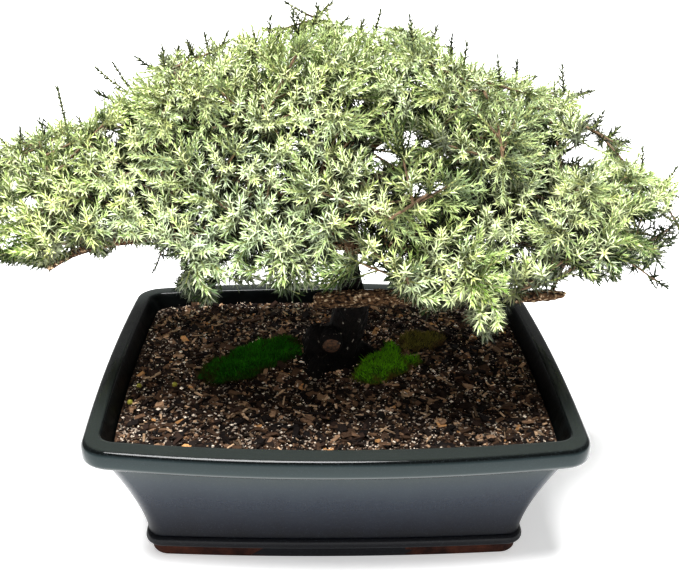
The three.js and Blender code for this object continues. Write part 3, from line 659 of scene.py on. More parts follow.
def add_needles(skin, roots, ways, uppers, lengths, tone, pale, shade_and_youth, fine):
    """Awl-shaped needles: a flat bloomed upper side, a greener keel below and a sharp tip.

    Fine ones are widest at a third of their length; the others are widest at the root.
    """
    count = len(roots)
    sides = np.cross(ways, uppers)
    lengths = lengths[:, None]
    thick = 0.5 + 0.5 * lengths / NEEDLE
    middles = roots + ways * lengths * (0.34 if fine else 0.04)
    left = middles + sides * NEEDLE_HALF * thick
    right = middles - sides * NEEDLE_HALF * thick
    keel = middles - uppers * NEEDLE_KEEL * thick
    tips = roots + ways * lengths + uppers * lengths * 0.06
    if fine:
        points, faces, upper = [roots, left, right, keel, tips], LENS_FACES, LENS_UPPER
    else:
        points, faces, upper = [right, left, keel, tips], AWL_FACES, AWL_UPPER
    points = np.stack(points, axis=1)
    faces = (faces[None] + points.shape[1] * np.arange(count)[:, None, None]).reshape(-1, 3)
    tints = np.empty((count, len(upper), 3))
    tints[:, :, 0] = tone
    tints[:, :, 1] = np.maximum(upper, pale)
    # Blue: the needle's painted shade and its youth
    tints[:, :, 2] = shade_and_youth[:, None]
    skin.add(points.reshape(-1, 3), faces, 0, tints.reshape(-1, 3))


def add_shoot(skin, root, heading, length, rng, curl=0.3, leafy=17, fine=False):
    """A shoot that curls up to the light: whorls of three needles on its leafy end and a bud at its tip."""
    tip = root + heading * length
    yellow = tone_at(tip)
    tone = np.clip(yellow + rng.normal(0, 0.16), 0, 1)
    # The shoot's painted light: full on the crown's outside and painted shade deep inside, raised for yellow
    # tips and at the sides
    outer = rising(crown_share(tip, open_below=True), SHADE_FROM, SHADE_DEEP)
    outer = max(outer, rising(yellow, YELLOW_FROM, YELLOW_DEEP))
    outer = max(outer, min(rising(abs(tip[0]), SIDE_FROM, SIDE_DEEP), SIDE_LIGHT))
    light = float(outer) if in_crown(tip) else LOOSE_LIGHT
    pale = BLOOM * light * float(rising(tip[2], BLOOM_FROM, BLOOM_DEEP))
    needle = between(NEEDLE, needle_length(tip[2]), light)
    s = np.arange(max(1.2, length - leafy), length - 0.6, WHORL)
    s = np.append(s, length - 0.4)
    share = s / length
    centres = root + heading * s[:, None] + UP * (curl * s * share / 2)[:, None]
    along = units(heading + UP * (curl * share)[:, None])
    side = unit(axes_of(heading)[0])
    sides = units(side - along * (along @ side)[:, None])
    others = np.cross(along, sides)
    whorls = len(s)
    turn = (np.arange(whorls) * math.pi / 3)[:, None] + np.arange(3) * 2 * math.pi / 3
    turn = turn + rng.uniform(0, math.pi) + rng.normal(0, 0.14, (whorls, 3))
    lean = (1.12 - 0.6 * share**3)[:, None] + rng.normal(0, 0.1, (whorls, 3))
    lean[-1] = BUD_LEAN
    out = np.cos(turn)[..., None] * sides[:, None] + np.sin(turn)[..., None] * others[:, None]
    way = np.cos(lean)[..., None] * along[:, None] + np.sin(lean)[..., None] * out
    upper = np.sin(lean)[..., None] * along[:, None] - np.cos(lean)[..., None] * out
    size = needle * (0.82 + 0.18 * np.sin(math.pi * np.clip(share + 0.15, 0, 1)))[:, None]
    size = size * rng.uniform(0.86, 1.1, (whorls, 3))
    size[-1] = needle * BUD_LENGTH
    young = np.clip((share - 0.55) * 2, 0, 1) * rng.uniform()
    # Painted shade along the shoot, darkest at its foot, with young tips lighter
    shade_and_youth = np.repeat(0.5 * light * (np.clip(0.05 + 1.2 * share, 0, 1) + young), 3)
    roots = np.repeat(centres, 3, axis=0)
    add_needles(skin, roots, way.reshape(-1, 3), upper.reshape(-1, 3), size.ravel(), tone, pale, shade_and_youth, fine)
    stem = [root, root + heading * length / 2 + UP * curl * length / 8, centres[-1]]
    skin.add(*tube(stem, STEM_RADII, 3), STEM, (tone, 0, 0))
    SHOOTS.append(stem)
    return stem


# Where the crown is, as the reference view shows it, in pixels of a frame 679 wide
CROWN_OUTLINE = (
    (-22, 150), (0, 140), (40, 128), (62, 115), (84, 124), (100, 100), (120, 80), (160, 60), (185, 54),
    (202, 42), (225, 40), (247, 28), (275, 23), (302, 29), (318, 14), (332, 8), (350, 26), (380, 22),
    (436, 28), (446, 46), (466, 50), (482, 62), (520, 70), (540, 82), (560, 70), (570, 84), (594, 112),
    (580, 131), (560, 133), (555, 152), (562, 168), (592, 170), (612, 143), (640, 153), (650, 172),
    (678, 176), (676, 206), (628, 218), (632, 238), (664, 246), (654, 264), (624, 264), (616, 278),
    (592, 282), (576, 266), (562, 262), (556, 281), (506, 277), (512, 294), (500, 312), (498, 328),
    (486, 336), (470, 322), (470, 300), (436, 309), (414, 301), (388, 284), (380, 262), (361, 254),
    (356, 240), (335, 238), (343, 270), (336, 287), (300, 286), (282, 291), (262, 280), (222, 282),
    (212, 298), (190, 296), (178, 285), (188, 272), (166, 249), (112, 239), (104, 256), (90, 252),
    (88, 240), (62, 244), (48, 262), (0, 260), (-22, 250),
)
CROWN_HOLES = (
    ((100, 114), (118, 113), (121, 128), (119, 144), (108, 142), (101, 130)),
    ((356, 99), (382, 101), (384, 108), (358, 105)),
    ((384, 136), (412, 125), (424, 126), (430, 138), (442, 138), (454, 160), (426, 147), (414, 142),
     (394, 166), (384, 166), (364, 146)),
    ((402, 182), (445, 178), (446, 192), (428, 200), (419, 210), (400, 188)),
    ((336, 172), (344, 164), (352, 170), (348, 178)),
    ((468, 166), (481, 166), (480, 175), (470, 174)),
    ((498, 188), (512, 186), (530, 190), (526, 197), (502, 196)),
    ((534, 216), (541, 216), (540, 236), (535, 232)),
    ((22, 178), (36, 178), (34, 204), (24, 206)),
    ((22, 146), (40, 147), (34, 158)),
    ((338, 241), (360, 243), (363, 257), (384, 263), (391, 285), (340, 285)),
)

# Patches of colour on the crown: place in the same pixels, radius, and tone from blue-green 0 to yellow 1
TONES = (
    ((392, 228), 42, 0.95), ((20, 236), 42, 0.8), ((160, 90), 110, 0.62), ((300, 60), 90, 0.55),
    ((250, 190), 80, 0.15), ((220, 270), 50, 0.1), ((620, 180), 70, 0.5), ((480, 110), 90, 0.4),
    ((420, 290), 60, 0.35), ((490, 315), 30, 0.6), ((280, 265), 26, 0.55), ((470, 280), 24, 0.75),
)
# Tips of shoots that stand out past the outline, in the same pixels
LOOSE_TIPS = (
    (58, 90), (98, 70), (97, 92), (115, 66), (137, 58), (163, 50), (188, 42), (205, 35), (227, 34),
    (252, 26), (270, 19), (292, 14), (318, 9), (331, 3), (347, 18), (363, 21), (380, 12), (410, 17),
    (437, 27), (452, 37), (467, 45), (498, 58), (517, 63), (562, 66), (588, 92), (603, 113), (612, 140),
    (643, 149), (676, 169), (671, 244), (661, 266), (20, 130), (40, 120), (485, 338), (300, 294),
    (203, 302), (425, 312), (500, 322), (376, 214), (391, 208), (405, 217), (372, 230), (388, 226),
    (403, 234), (418, 228), (382, 244), (398, 250), (413, 246), (368, 246), (426, 240),
)
# The tone elsewhere, which counts this much against the patches
PLAIN_TONE, PLAIN_WEIGHT = 0.42, 0.3

SHOOTS = []  # the stem of each shoot so far: foot, middle and tip


def camera_axes():
    """The camera's right, up and ahead."""
    yaw, down, roll = (math.radians(a) for a in (CAMERA_YAW, CAMERA_DOWN, CAMERA_ROLL))
    ahead = np.array([math.sin(yaw) * math.cos(down), math.cos(yaw) * math.cos(down), -math.sin(down)])
    level = np.array([math.cos(yaw), -math.sin(yaw), 0.0])
    upward = np.cross(level, ahead)
    right = level * math.cos(roll) + upward * math.sin(roll)
    return right, upward * math.cos(roll) - level * math.sin(roll), ahead


def seen_at(points):
    """Where the reference view shows points, in its pixels."""
    right, upward, ahead = camera_axes()
    away = np.asarray(points, float) - CAMERA_PLACE
    deep = away @ ahead
    across, up = CAMERA_FOCUS * (away @ right) / deep, CAMERA_FOCUS * (away @ upward) / deep
    return np.stack([FRAME[0] / 2 + across, FRAME[1] / 2 - up], axis=-1)


def place_seen(spot, depth):
    """The point at a depth that the reference view shows at a spot."""
    right, upward, ahead = camera_axes()
    across, up = spot[0] - FRAME[0] / 2, FRAME[1] / 2 - spot[1]
    ray = ahead * CAMERA_FOCUS + right * across + upward * up
    return CAMERA_PLACE + ray * (depth - CAMERA_PLACE[1]) / ray[1]


def within(spots, outline):
    """Which spots lie inside a closed outline."""
    x, y = spots[..., 0], spots[..., 1]
    inside = np.zeros(x.shape, bool)
    for (a, b), (c, d) in zip(outline, outline[1:] + outline[:1]):
        crosses = (b > y) != (d > y)
        inside ^= crosses & (x < a + (c - a) * (y - b) / ((d - b) or 1))
    return inside


def tone_at(place):
    spot = seen_at(place)
    total, weight = PLAIN_TONE * PLAIN_WEIGHT, PLAIN_WEIGHT
    for middle, radius, tone in TONES:
        away = math.hypot(spot[0] - middle[0], spot[1] - middle[1]) / radius
        w = math.exp(-away * away)
        total, weight = total + w * tone, weight + w
    return total / weight


def in_hole(points):
    spots = seen_at(points)
    return np.any([within(spots, hole) for hole in CROWN_HOLES], axis=0)


def in_crown(points):
    return within(seen_at(points), CROWN_OUTLINE) & ~in_hole(points)


SHOOT_GAP = 5.6  # from one shoot on a twig to the next
SHOOT_ALONG, SHOOT_OUT, SHOOT_UP = 0.62, 0.8, 0.26  # how much a shoot follows its twig, leaves it and rises
FORKED = 12  # shoots longer than this have side shoots
STUNTED = 7  # longest shoot that stands out past the crown


def clothe(skin, points, rng, bare, reach):
    """Shoots round a twig from a bare length on, longer near its root, and one that carries on at its tip."""
    lengths = np.linalg.norm(np.diff(points, axis=0), axis=1)
    ends = np.concatenate([[0], np.cumsum(lengths)])
    total = ends[-1]
    turn = rng.uniform(0, 2 * math.pi)
    s = bare
    while s < total - 2:
        i = min(int(np.searchsorted(ends, s, side="right")) - 1, len(lengths) - 1)
        along = (points[i + 1] - points[i]) / lengths[i]
        place = points[i] + along * (s - ends[i])
        side, other = axes_of(along)
        out = side * math.cos(turn) + other * math.sin(turn)
        heading = unit(along * SHOOT_ALONG + out * SHOOT_OUT + UP * SHOOT_UP)
        length = reach * (1 - 0.5 * s / total) * rng.uniform(0.75, 1.2)
        end = place + heading * length
        if in_crown(end):
            stem = add_shoot(skin, place, heading, length, rng)
            if length > FORKED:
                add_forks(skin, stem, heading, length, rng)
        elif not in_hole(end):
            add_shoot(skin, place, heading, min(length, STUNTED), rng)
        turn += GOLDEN
        s += SHOOT_GAP * rng.uniform(0.75, 1.25)
    last = unit(points[-1] - points[-2])
    add_shoot(skin, points[-1] - last, last, rng.uniform(9, 14), rng)


def add_forks(skin, stem, heading, length, rng):
    side = axes_of(heading)[1]
    for share, hand in ((0.3, 1), (0.55, -1)):
        place = halfway(stem, share)
        way = unit(heading * 0.7 + side * hand * 0.75 + UP * rng.uniform(0, 0.4))
        if in_crown(place + way * length * 0.6):
            add_shoot(skin, place, way, length * rng.uniform(0.5, 0.7), rng)


# The axis and a twig of a spray: radii, the bare length at the foot, and how long the shoots are there
AXIS_LOOK = ((1.2, 0.95, 0.6), 5, 17)
TWIG_LOOK = ((0.75, 0.5), 3.5, 14)


def make_spray(spray):
    rng = np.random.default_rng(1000 + spray.limb.index * 20 + spray.index)
    skin = Skin()
    for k, points in enumerate(spray.twigs):
        radii, bare, reach = TWIG_LOOK if k else AXIS_LOOK
        skin.add(*tube(points, radii, 5), TWIG)
        clothe(skin, points, rng, bare, reach)
    piece(skin.make("fine_" + spray.name, FOLIAGE), "needles", spray.name)


class Spread:
    """Points kept at least a spacing apart, on a grid of cells."""

    def __init__(self, cell):
        self.cell, self.cells = cell, {}

    def add(self, p):
        self.cells.setdefault(tuple((p // self.cell).astype(int)), []).append(p)

    def free(self, p, spacing):
        i, j, k = (p // self.cell).astype(int)
        for a in (i - 1, i, i + 1):
            for b in (j - 1, j, j + 1):
                for c in (k - 1, k, k + 1):
                    for q in self.cells.get((a, b, c), ()):
                        if (p[0] - q[0]) ** 2 + (p[1] - q[1]) ** 2 + (p[2] - q[2]) ** 2 < spacing * spacing:
                            return False
        return True


# Where tips of shoots can be: the corners of a box round the crown, the least share of the crown, and the
# most for the first tips and for those that thicken thin places
TIP_BOX = ((-188, -CROWN_HALF[1], CROWN_FOOT), (187, CROWN_HALF[1], 279))
TIP_LEAST, TIP_MOST, THICKENED_MOST = 0.42, 1.03, 0.97
# From tip to tip outside a share of the crown and inside it, and how much more there is behind a depth
TIP_OUTER, TIP_INNER, TIP_SKIN = 4.6, 6.6, 0.8
TIP_BACK, TIP_DEPTH = 1.2, 20
TIP_CELL = 9


def crown_places(rng, count, most):
    """Places in the crown up to a share of it, with the share of each."""
    points = rng.uniform(*TIP_BOX, (count, 3))
    share = crown_share(points, open_below=True)
    keep = (crown_share(points) > TIP_LEAST) & (share < most) & in_crown(points)
    return points[keep], share[keep]


def crown_tips(rng, taken, count=150000):
    """Places for the tips of more shoots: closest on the outside, and nearer one another in front."""
    spread = Spread(TIP_CELL)
    for p in taken:
        spread.add(p)
    tips = []
    for p, q in zip(*crown_places(rng, count, TIP_MOST)):
        spacing = (TIP_OUTER if q > TIP_SKIN else TIP_INNER) + (TIP_BACK if p[1] > TIP_DEPTH else 0)
        if spread.free(p, spacing):
            spread.add(p)
            tips.append(p)
    return np.array(tips)


MARKS = (0.3, 0.65, 1)  # shares of a length of twig or shoot that mark where it runs
THIN = 7  # where fewer shoots than this cross a cell of the reference view, more are grown
THIN_GAP = 4  # from tip to tip there
CELL = 7  # size of a cell in its pixels
CELL_MARGIN = 5  # cells before the edge of the frame
CELL_LAST = 80  # places beyond this cell are counted there


def cells_of(points):
    return np.clip(seen_at(points) // CELL + CELL_MARGIN, 1, CELL_LAST).astype(int)


def thin_places(rng, shoots, count=40000, most=700):
    """Places for still more tips, where the crown could be seen through."""
    marks = np.array([between(a, b, t) for a, b in shoots for t in MARKS])
    cells = np.zeros((CELL_LAST + 2, CELL_LAST + 2), int)
    np.add.at(cells, tuple(cells_of(marks).T), 1)
    spread = Spread(TIP_CELL)
    for p in marks[2::3]:
        spread.add(p)
    points, _ = crown_places(rng, count, THICKENED_MOST)
    tips = []
    for crossed in range(1, THIN + 1):
        for p, (i, j) in zip(points, cells_of(points)):
            if cells[i, j] < crossed and len(tips) < most and spread.free(p, THIN_GAP):
                spread.add(p)
                tips.append(p)
                cells[i - 1 : i + 2, j - 1 : j + 2] += 1
    return np.array(tips)


NEAR = 10  # how many of the nearest nodes a tip chooses from
SHORTEST, LONGEST = 4, 22  # shoots of the crown
BARE_TWIG, BARE_TURN = 18, 4  # length of a bare twig towards tips out of reach, and how many grow in one turn


class Growth:
    """Nodes that a shoot can start from, each with a heading and the twig that it stands on."""

    def __init__(self):
        self.nodes, self.headings, self.twigs, self.grown = [], [], [], []

    def add(self, place, heading, twig=-1):
        self.nodes.append(place)
        self.headings.append(heading)
        self.twigs.append(twig)

    def best_near(self, tip, tree):
        best, best_score, reach = None, 1e9, 0
        for _, i, away in tree.find_n(tip, NEAR):
            if away > SHORTEST:
                along = (tip - self.nodes[i]) @ self.headings[i] / away
                score = away * (1.5 - 0.5 * along)
                if score < best_score:
                    best, best_score, reach = i, score, away
        return best, reach

    def grow(self, start, end, leafy):
        self.grown.append((self.nodes[start], end, leafy, self.twigs[start]))
        way = unit(end - self.nodes[start])
        for t in (0.45, 0.8) if leafy else (0.35, 0.7, 1):
            self.add(between(self.nodes[start], end, t), way, len(self.grown) - 1)

    def reach_all(self, tips):
        """Each tip gets a shoot from the best near node; far ones wait for what grows towards them."""
        waiting = list(range(len(tips)))
        while waiting:
            tree = KDTree(len(self.nodes))
            for i, p in enumerate(self.nodes):
                tree.insert(p, i)
            tree.balance()
            found = [(k, *self.best_near(tips[k], tree)) for k in waiting]
            ready = [f for f in found if f[2] <= LONGEST]
            for k, start, _ in ready:
                self.grow(start, tips[k], True)
            if not ready:
                for k, start, away in sorted(found, key=lambda f: f[2])[:BARE_TURN]:
                    self.grow(start, between(self.nodes[start], tips[k], BARE_TWIG / away), False)
            done = {k for k, _, _ in ready}
            waiting = [k for k in waiting if k not in done]

    def kept(self):
        """What has grown, without the bare twigs that carry nothing."""
        needed = set()
        for _, _, leafy, twig in self.grown:
            while leafy and twig >= 0 and twig not in needed:
                needed.add(twig)
                twig = self.grown[twig][3]
        return [g[:3] for i, g in enumerate(self.grown) if g[2] or i in needed]


# Shoots that stand out past the outline: those above a row of the reference view lie between two depths, the
# others further in front
LOW_ROW = 200
LOOSE_DEPTHS = (-25, 15)
LOW_DEPTH = -55
LIMB_BARE = 0.22  # share of a limb, next to the trunk, that no shoot of the crown starts from
CROWN_SPLIT = (5, -8)  # where the crown is parted into left and right, and into front and back
FINE_DEPTH, FINE_TOP = -30, 175  # nearer and lower than this, needles have their finer form


def loose_place(rng, spot):
    return place_seen(spot, rng.uniform(*LOOSE_DEPTHS) if spot[1] < LOW_ROW else LOW_DEPTH)


def make_crown(limbs, sprays):
    """Shoots that fill the crown between and round the sprays, in four pieces."""
    rng = np.random.default_rng(77)
    growth = Growth()
    for limb in limbs:
        if limb.name != "low_right":
            for t in np.linspace(LIMB_BARE, 1, 22):
                growth.add(limb.on_bones(t), limb.tangent(t))
    for spray in sprays:
        for points in spray.twigs:
            for a, b in zip(points, points[1:]):
                for t in MARKS:
                    growth.add(between(a, b, t), unit(b - a))
    growth.reach_all(crown_tips(rng, [p for stem in SHOOTS for p in (stem[1], stem[2])]))
    growth.reach_all(np.array([loose_place(rng, spot) for spot in LOOSE_TIPS]))
    shoots = [(stem[0], stem[2]) for stem in SHOOTS] + [g[:2] for g in growth.kept() if g[2]]
    growth.reach_all(thin_places(rng, shoots))
    skins = {name: Skin() for name in ("left_front", "right_front", "left_back", "right_back")}
    for foot, tip, leafy in growth.kept():
        side = "left_" if tip[0] < CROWN_SPLIT[0] else "right_"
        skin = skins[side + ("front" if tip[1] < CROWN_SPLIT[1] else "back")]
        if not leafy:
            skin.add(*tube([foot, tip], (0.9, 0.6), 5), TWIG)
            continue
        length, curl = float(np.linalg.norm(tip - foot)), 0.35
        heading = (tip - foot) / length - UP * curl / 2
        fine = tip[1] < FINE_DEPTH and tip[2] < FINE_TOP
        add_shoot(skin, foot, heading, length, rng, curl, leafy=14, fine=fine)
    for name, skin in skins.items():
        piece(skin.make("crown_" + name, FOLIAGE), "needles")


# The pot

def outline(half, bow, corner, z):
    """Outline of the pot at one level: four bowed sides joined by round corners, anticlockwise."""
    middle = (half[0] - bow[0] - corner, half[1] - bow[1] - corner)
    side_turn, front_turn = 2 * math.atan(bow[0] / middle[1]), 2 * math.atan(bow[1] / middle[0])
    side_arc = corner + middle[1] / math.sin(side_turn)
    front_arc = corner + middle[0] / math.sin(front_turn)
    quarter = []
    for a in np.linspace(0, side_turn, 9)[:-1]:
        quarter.append((half[0] - side_arc * (1 - math.cos(a)), side_arc * math.sin(a)))
    for a in np.linspace(side_turn, math.pi / 2 - front_turn, 11):
        quarter.append((middle[0] + corner * math.cos(a), middle[1] + corner * math.sin(a)))
    for a in np.linspace(front_turn, 0, 13)[1:-1]:
        quarter.append((front_arc * math.sin(a), half[1] - front_arc * (1 - math.cos(a))))
    quarter = np.array(quarter)
    turned_back = quarter[:0:-1]
    top = np.array([[0.0, half[1]]])
    flat = np.vstack([quarter, top, turned_back * (-1, 1), -quarter, -top, turned_back * (1, -1)])
    return level(*flat.T, z)


def inset(half, d):
    return half[0] - d, half[1] - d


def blend(a, b, t):
    return between(a[0], b[0], t), between(a[1], b[1], t)


def wall_outline(share, draw, z):
    """The wall flares in a hollow curve; share is 0 over the bead and 1 under the lip."""
    half = inset(blend(WALL_BOTTOM, WALL_TOP, share**1.3), draw)
    return outline(half, blend(*WALL_BOWS, share), between(*WALL_CORNERS, share) - 0.5 * draw, z)


def wall_z(share):
    return between(BEAD_TOP, POT_HEIGHT - LIP_HEIGHT, share)


# Outlines of the pot: half length and width, bows, corner, and how fast the corner shrinks with the outline
FOOT = (WALL_BOTTOM, WALL_BOWS[0], WALL_CORNERS[0] - 1, 0)
RIM = (RIM_HALF, RIM_BOW, RIM_CORNER, 0.5)
MOUTH = ((RIM_HALF[0] - RIM_FLAT[0], RIM_HALF[1] - RIM_FLAT[1]), blend(*WALL_BOWS, 0.8), 9, 0.5)


def rings_on(base, form, *rows):
    """Rings of an outline, each drawn in by a distance and at a height over the base."""
    half, bow, corner, shrink = form
    return [outline(inset(half, d), bow, corner - shrink * d, base + z) for d, z in rows]


def pot_rings():
    """Rings up the outside of the pot, over its rim and down the inside."""
    bead_middle, bead_half = (BEAD_TOP + FOOT_HEIGHT) / 2, (BEAD_TOP - FOOT_HEIGHT) / 2
    bead = [(0.6 - 1.9 * math.cos(a), bead_half * math.sin(a)) for a in np.linspace(-1.3, 1.4, 8)]
    return [
        *rings_on(0, FOOT, (3.2, 0), (2.2, 0.4), (1.7, 1.5), (1.5, 6.4), (0.9, FOOT_HEIGHT)),
        *rings_on(bead_middle, FOOT, *bead),
        *(wall_outline(t, 0, wall_z(t)) for t in np.linspace(0.015, 1, 16)),
        *rings_on(POT_HEIGHT - LIP_HEIGHT, RIM, (6, 0.1), (3, 0.2), (1.3, 0.6), (0.4, 1.5), (0, 2.8)),
        *rings_on(POT_HEIGHT, RIM, (0.1, -3.2), (0.5, -1.9), (1.2, -0.9), (2.2, -0.3), (3.6, 0)),
        *rings_on(POT_HEIGHT, MOUTH, (-2.4, 0), (-1.2, -0.2), (-0.4, -0.8), (0.2, -1.8), (1, -3)),
        *(wall_outline(t, WALL_THICK, wall_z(t)) for t in (1, 0.8, 0.5)),
        wall_outline(0, WALL_THICK + 3, FLOOR_TOP),
    ]


def arch_bar(side):
    """The long bar whose top cuts the scalloped arch between two feet."""
    flat, foot = ARCH_TOP[side], ARCH_FOOT[side]
    t = np.linspace(0, 1, 15)
    ease = ARCH_RISE * (3 * t**2 - 2 * t**3)
    x = np.concatenate([-foot + (foot - flat) * t, (flat + (foot - flat) * t)])
    z = np.concatenate([ease, ease[::-1]]) + 0.01
    x, z = np.concatenate([x, [foot, -foot]]), np.concatenate([z, [-3, -3]])
    rings = [np.column_stack([x, np.full(len(x), y), z]) for y in (200.0, -200.0)]
    if side:
        rings = [np.column_stack([-r[:, 1], r[:, 0], r[:, 2]]) for r in rings]
    return rings


def loft(skin, rings, slot=0, tint=(1, 1, 1), ends=None):
    """A closed skin over rings, capped by fans round the middles of the first and last ring."""
    first, last = ends if ends is not None else (rings[0].mean(0), rings[-1].mean(0))
    points = np.vstack([*rings, first[None], last[None]])
    skin.add(points, grid_faces(len(rings), len(rings[0])), slot, tint)


def carve(made, cutters):
    for cutter in cutters:
        cut = made.modifiers.new("cut", "BOOLEAN")
        cut.operation, cut.solver, cut.object = "DIFFERENCE", "EXACT", cutter
    done = made.evaluated_get(bpy.context.evaluated_depsgraph_get())
    mesh = bpy.data.meshes.new_from_object(done)
    made.modifiers.clear()
    made.data = mesh
    for cutter in cutters:
        bpy.data.objects.remove(cutter)


def as_cutter(rings):
    skin = Skin()
    loft(skin, rings)
    return skin.make("cutter", [])


def drain_ring(x, z):
    a = full_turn(32)
    return level(x + DRAIN_RADIUS * np.cos(a), DRAIN_RADIUS * np.sin(a), z)


DULL_SHEEN = 0.06  # of the glaze under its coat


def glaze_material():
    """Dark glossy glaze, grey-green high on the wall and nearly black low down, with a painted shadow and a
    painted highlight at the lip.
    """
    n = Nodes("glaze")
    height = n.add("ShaderNodeSeparateXYZ", {"Vector": n.place()}).outputs["Z"]
    streaks = n.noise(60, 3, vector=n.stretched(1, 1, 0.12))
    high = n.add("ShaderNodeMapRange", {"Value": height, "From Min": 0.0, "From Max": 0.1}).outputs["Result"]
    streaked_height = n.math("ADD", high, n.math("MULTIPLY", n.math("SUBTRACT", streaks), 0.12))
    wall = n.ramp(
        streaked_height,
        (0.14, (0.0004, 0.0006, 0.002)),
        (0.22, (0.001, 0.002, 0.006)),
        (0.42, (0.005, 0.009, 0.017)),
        (0.55, (0.011, 0.018, 0.025)),
        (0.66, (0.015, 0.023, 0.023)),
    )
    # Painted shadow on the wall just under the lip
    wall = n.mix(1.0, wall, n.ramp(high, (0.665, 1.0), (0.7, 0.25)), "MULTIPLY")
    # Painted shadow in the crease under the lip, a painted highlight along its lower edge, and painted shade
    # on its rounded top edge
    lip = n.ramp(
        high,
        (0.7, (0.0004, 0.0006, 0.001)),
        (0.715, (0.0004, 0.0006, 0.001)),
        (0.722, (0.07, 0.08, 0.08)),
        (0.735, (0.022, 0.033, 0.034)),
        (0.79, (0.014, 0.021, 0.022)),
        (0.8, (0.0005, 0.001, 0.001)),
        (0.808, (0.0005, 0.001, 0.001)),
        (0.812, (0.015, 0.018, 0.0165)),
    )
    colour = n.mix(n.ramp(high, (0.7, 0.0), (0.704, 1.0)), wall, lip)
    specks = n.ramp(n.noise(1500, 2), (0.56, 0.0), (0.72, 1.0))
    colour = n.mix(n.math("MULTIPLY", specks, 0.2), colour, (0.05, 0.065, 0.075))
    rough = n.ramp(high, (0.14, 0.5), (0.24, 0.3), (0.7, 0.2), (0.72, 0.12))
    bump = n.bump(n.noise(90, 2), 0.0006, 0.35)
    coat = {"Specular_IOR_Level": DULL_SHEEN, "Coat_Weight": 0.15, "Coat_Roughness": 0.06}
    return n.finish(Base_Color=colour, Roughness=rough, Normal=bump, **coat)


def clay_material():
    n = Nodes("bare_clay")
    grain = n.noise(900, 4)
    colour = n.ramp(n.noise(120, 4), (0.3, (0.012, 0.004, 0.003)), (0.7, (0.06, 0.018, 0.01)))
    colour = n.mix(0.25, colour, grain, "MULTIPLY")
    return n.matte(colour, 0.85, 0.1, grain, 0.0004)


BARE_INSIDE = (80, 60)  # under the floor all is bare clay within this half length and width, arches too


def make_pot():
    skin = Skin()
    loft(skin, pot_rings(), ends=(np.array([0, 0, 0.0]), np.array([0, 0, float(FLOOR_TOP)])))
    # The inside wall's near-black is painted shade
    black = (0.35, (0.0004, 0.0006, 0.0006)), (0.7, (0.002, 0.003, 0.003))
    inner_painted_shade = grained("inner_painted_shade", 140, 3, *black, 0.35, 0.0004, Specular_IOR_Level=DULL_SHEEN)
    made = skin.make("fine_pot", [glaze_material(), clay_material(), inner_painted_shade], smooth=True)
    drains = [[drain_ring(x, -2.0), drain_ring(x, 30.0)] for x in (-DRAIN_X, DRAIN_X)]
    carve(made, [as_cutter(r) for r in (arch_bar(0), arch_bar(1), *drains)])
    clay, painted_shade_inside = 1, 2
    for face in made.data.polygons:
        x, y, z = (abs(v) for v in np.array(face.center) / MM - SHIFT / MM)
        in_foot = (x > ARCH_TOP[0] + 2 or y < BARE_INSIDE[1]) and (y > ARCH_TOP[1] + 2 or x < BARE_INSIDE[0])
        bare = z < FOOT_HEIGHT + 0.1 and in_foot
        inward = face.normal.x * (face.center.x - SHIFT[0]) + face.normal.y * (face.center.y - SHIFT[1]) < 0
        # Faces of the inside wall, which take the painted shade
        inside = inward and abs(face.normal.z) < 0.8 and FLOOR_TOP < z < POT_HEIGHT - 0.4
        face.material_index = clay if bare else painted_shade_inside if inside else 0
        face.use_smooth = True
    made.data.set_sharp_from_angle(angle=math.radians(38))
    piece(made, "glaze", "pot")


BOX = np.array([
    (-1, -1, -1), (1, -1, -1), (1, 1, -1), (-1, 1, -1), (-1, -1, 1), (1, -1, 1), (1, 1, 1), (-1, 1, 1),
])
BOX_FACES = np.array([
    [0, 2, 1], [0, 3, 2], [4, 5, 6], [4, 6, 7], [0, 1, 5], [0, 5, 4],
    [1, 2, 6], [1, 6, 5], [2, 3, 7], [2, 7, 6], [3, 0, 4], [3, 4, 7],
])


STRAND = 0.8  # width of a strand of the screens


def make_screens():
    """Woven plastic mesh over the drain holes."""
    plastic = grained("screen_plastic", 1200, 2, (0.3, 0.012), (0.7, 0.03), 0.55, 0.0001)
    low, half = FLOOR_TOP + GAP, SCREEN[0] / 2
    for x, name in ((-DRAIN_X, "left"), (DRAIN_X, "right")):
        skin = Skin()
        for k in np.linspace(-half, half - STRAND, 10):
            for corner, other in (
                ((x + k, -half, low), (x + k + STRAND, half, low + 0.7)),
                ((x - half, k, low + 0.5), (x + half, k + STRAND, low + SCREEN[2])),
            ):
                skin.add(np.where(BOX > 0, other, corner), BOX_FACES)
        piece(skin.make("fine_screen_" + name, [plastic]), "screen", "drain_screen_" + name)


# Soil and moss

BED = (115, 95)  # half length and width of the mound
CHIP_BED, GRIT_BED = (112, 93), (114, 95)  # the same where chips and grit lie
BARK_COUNT, SLIVER_COUNT, GRIT_COUNT = 3400, 800, 4600


def soil_height(x, y):
    out = np.minimum(1, np.hypot(x / BED[0], y / BED[1]))
    bumps = 0.7 * np.sin(x * 0.21 + 1.3) * np.cos(y * 0.26) + 0.4 * np.sin(x * 0.5 + y * 0.43)
    return SOIL_EDGE + SOIL_MOUND * (1 - out**2) + bumps


def moss_reach(moss, x, y):
    """1 on a cushion's edge and 0 in its middle."""
    _, at, half, heading, _ = moss
    dx, dy = x - at[0], y - at[1]
    along = dx * math.cos(heading) + dy * math.sin(heading)
    across = -dx * math.sin(heading) + dy * math.cos(heading)
    return math.hypot(along / half[0], across / half[1])


def rough_noise(points, size, seed=0.0):
    """Fractal noise at points in millimetres, with features of a size."""
    start = Vector((seed, seed, seed))
    return np.array([noise.fractal(Vector(p / size) + start, 1.0, 2.0, 3) for p in points])


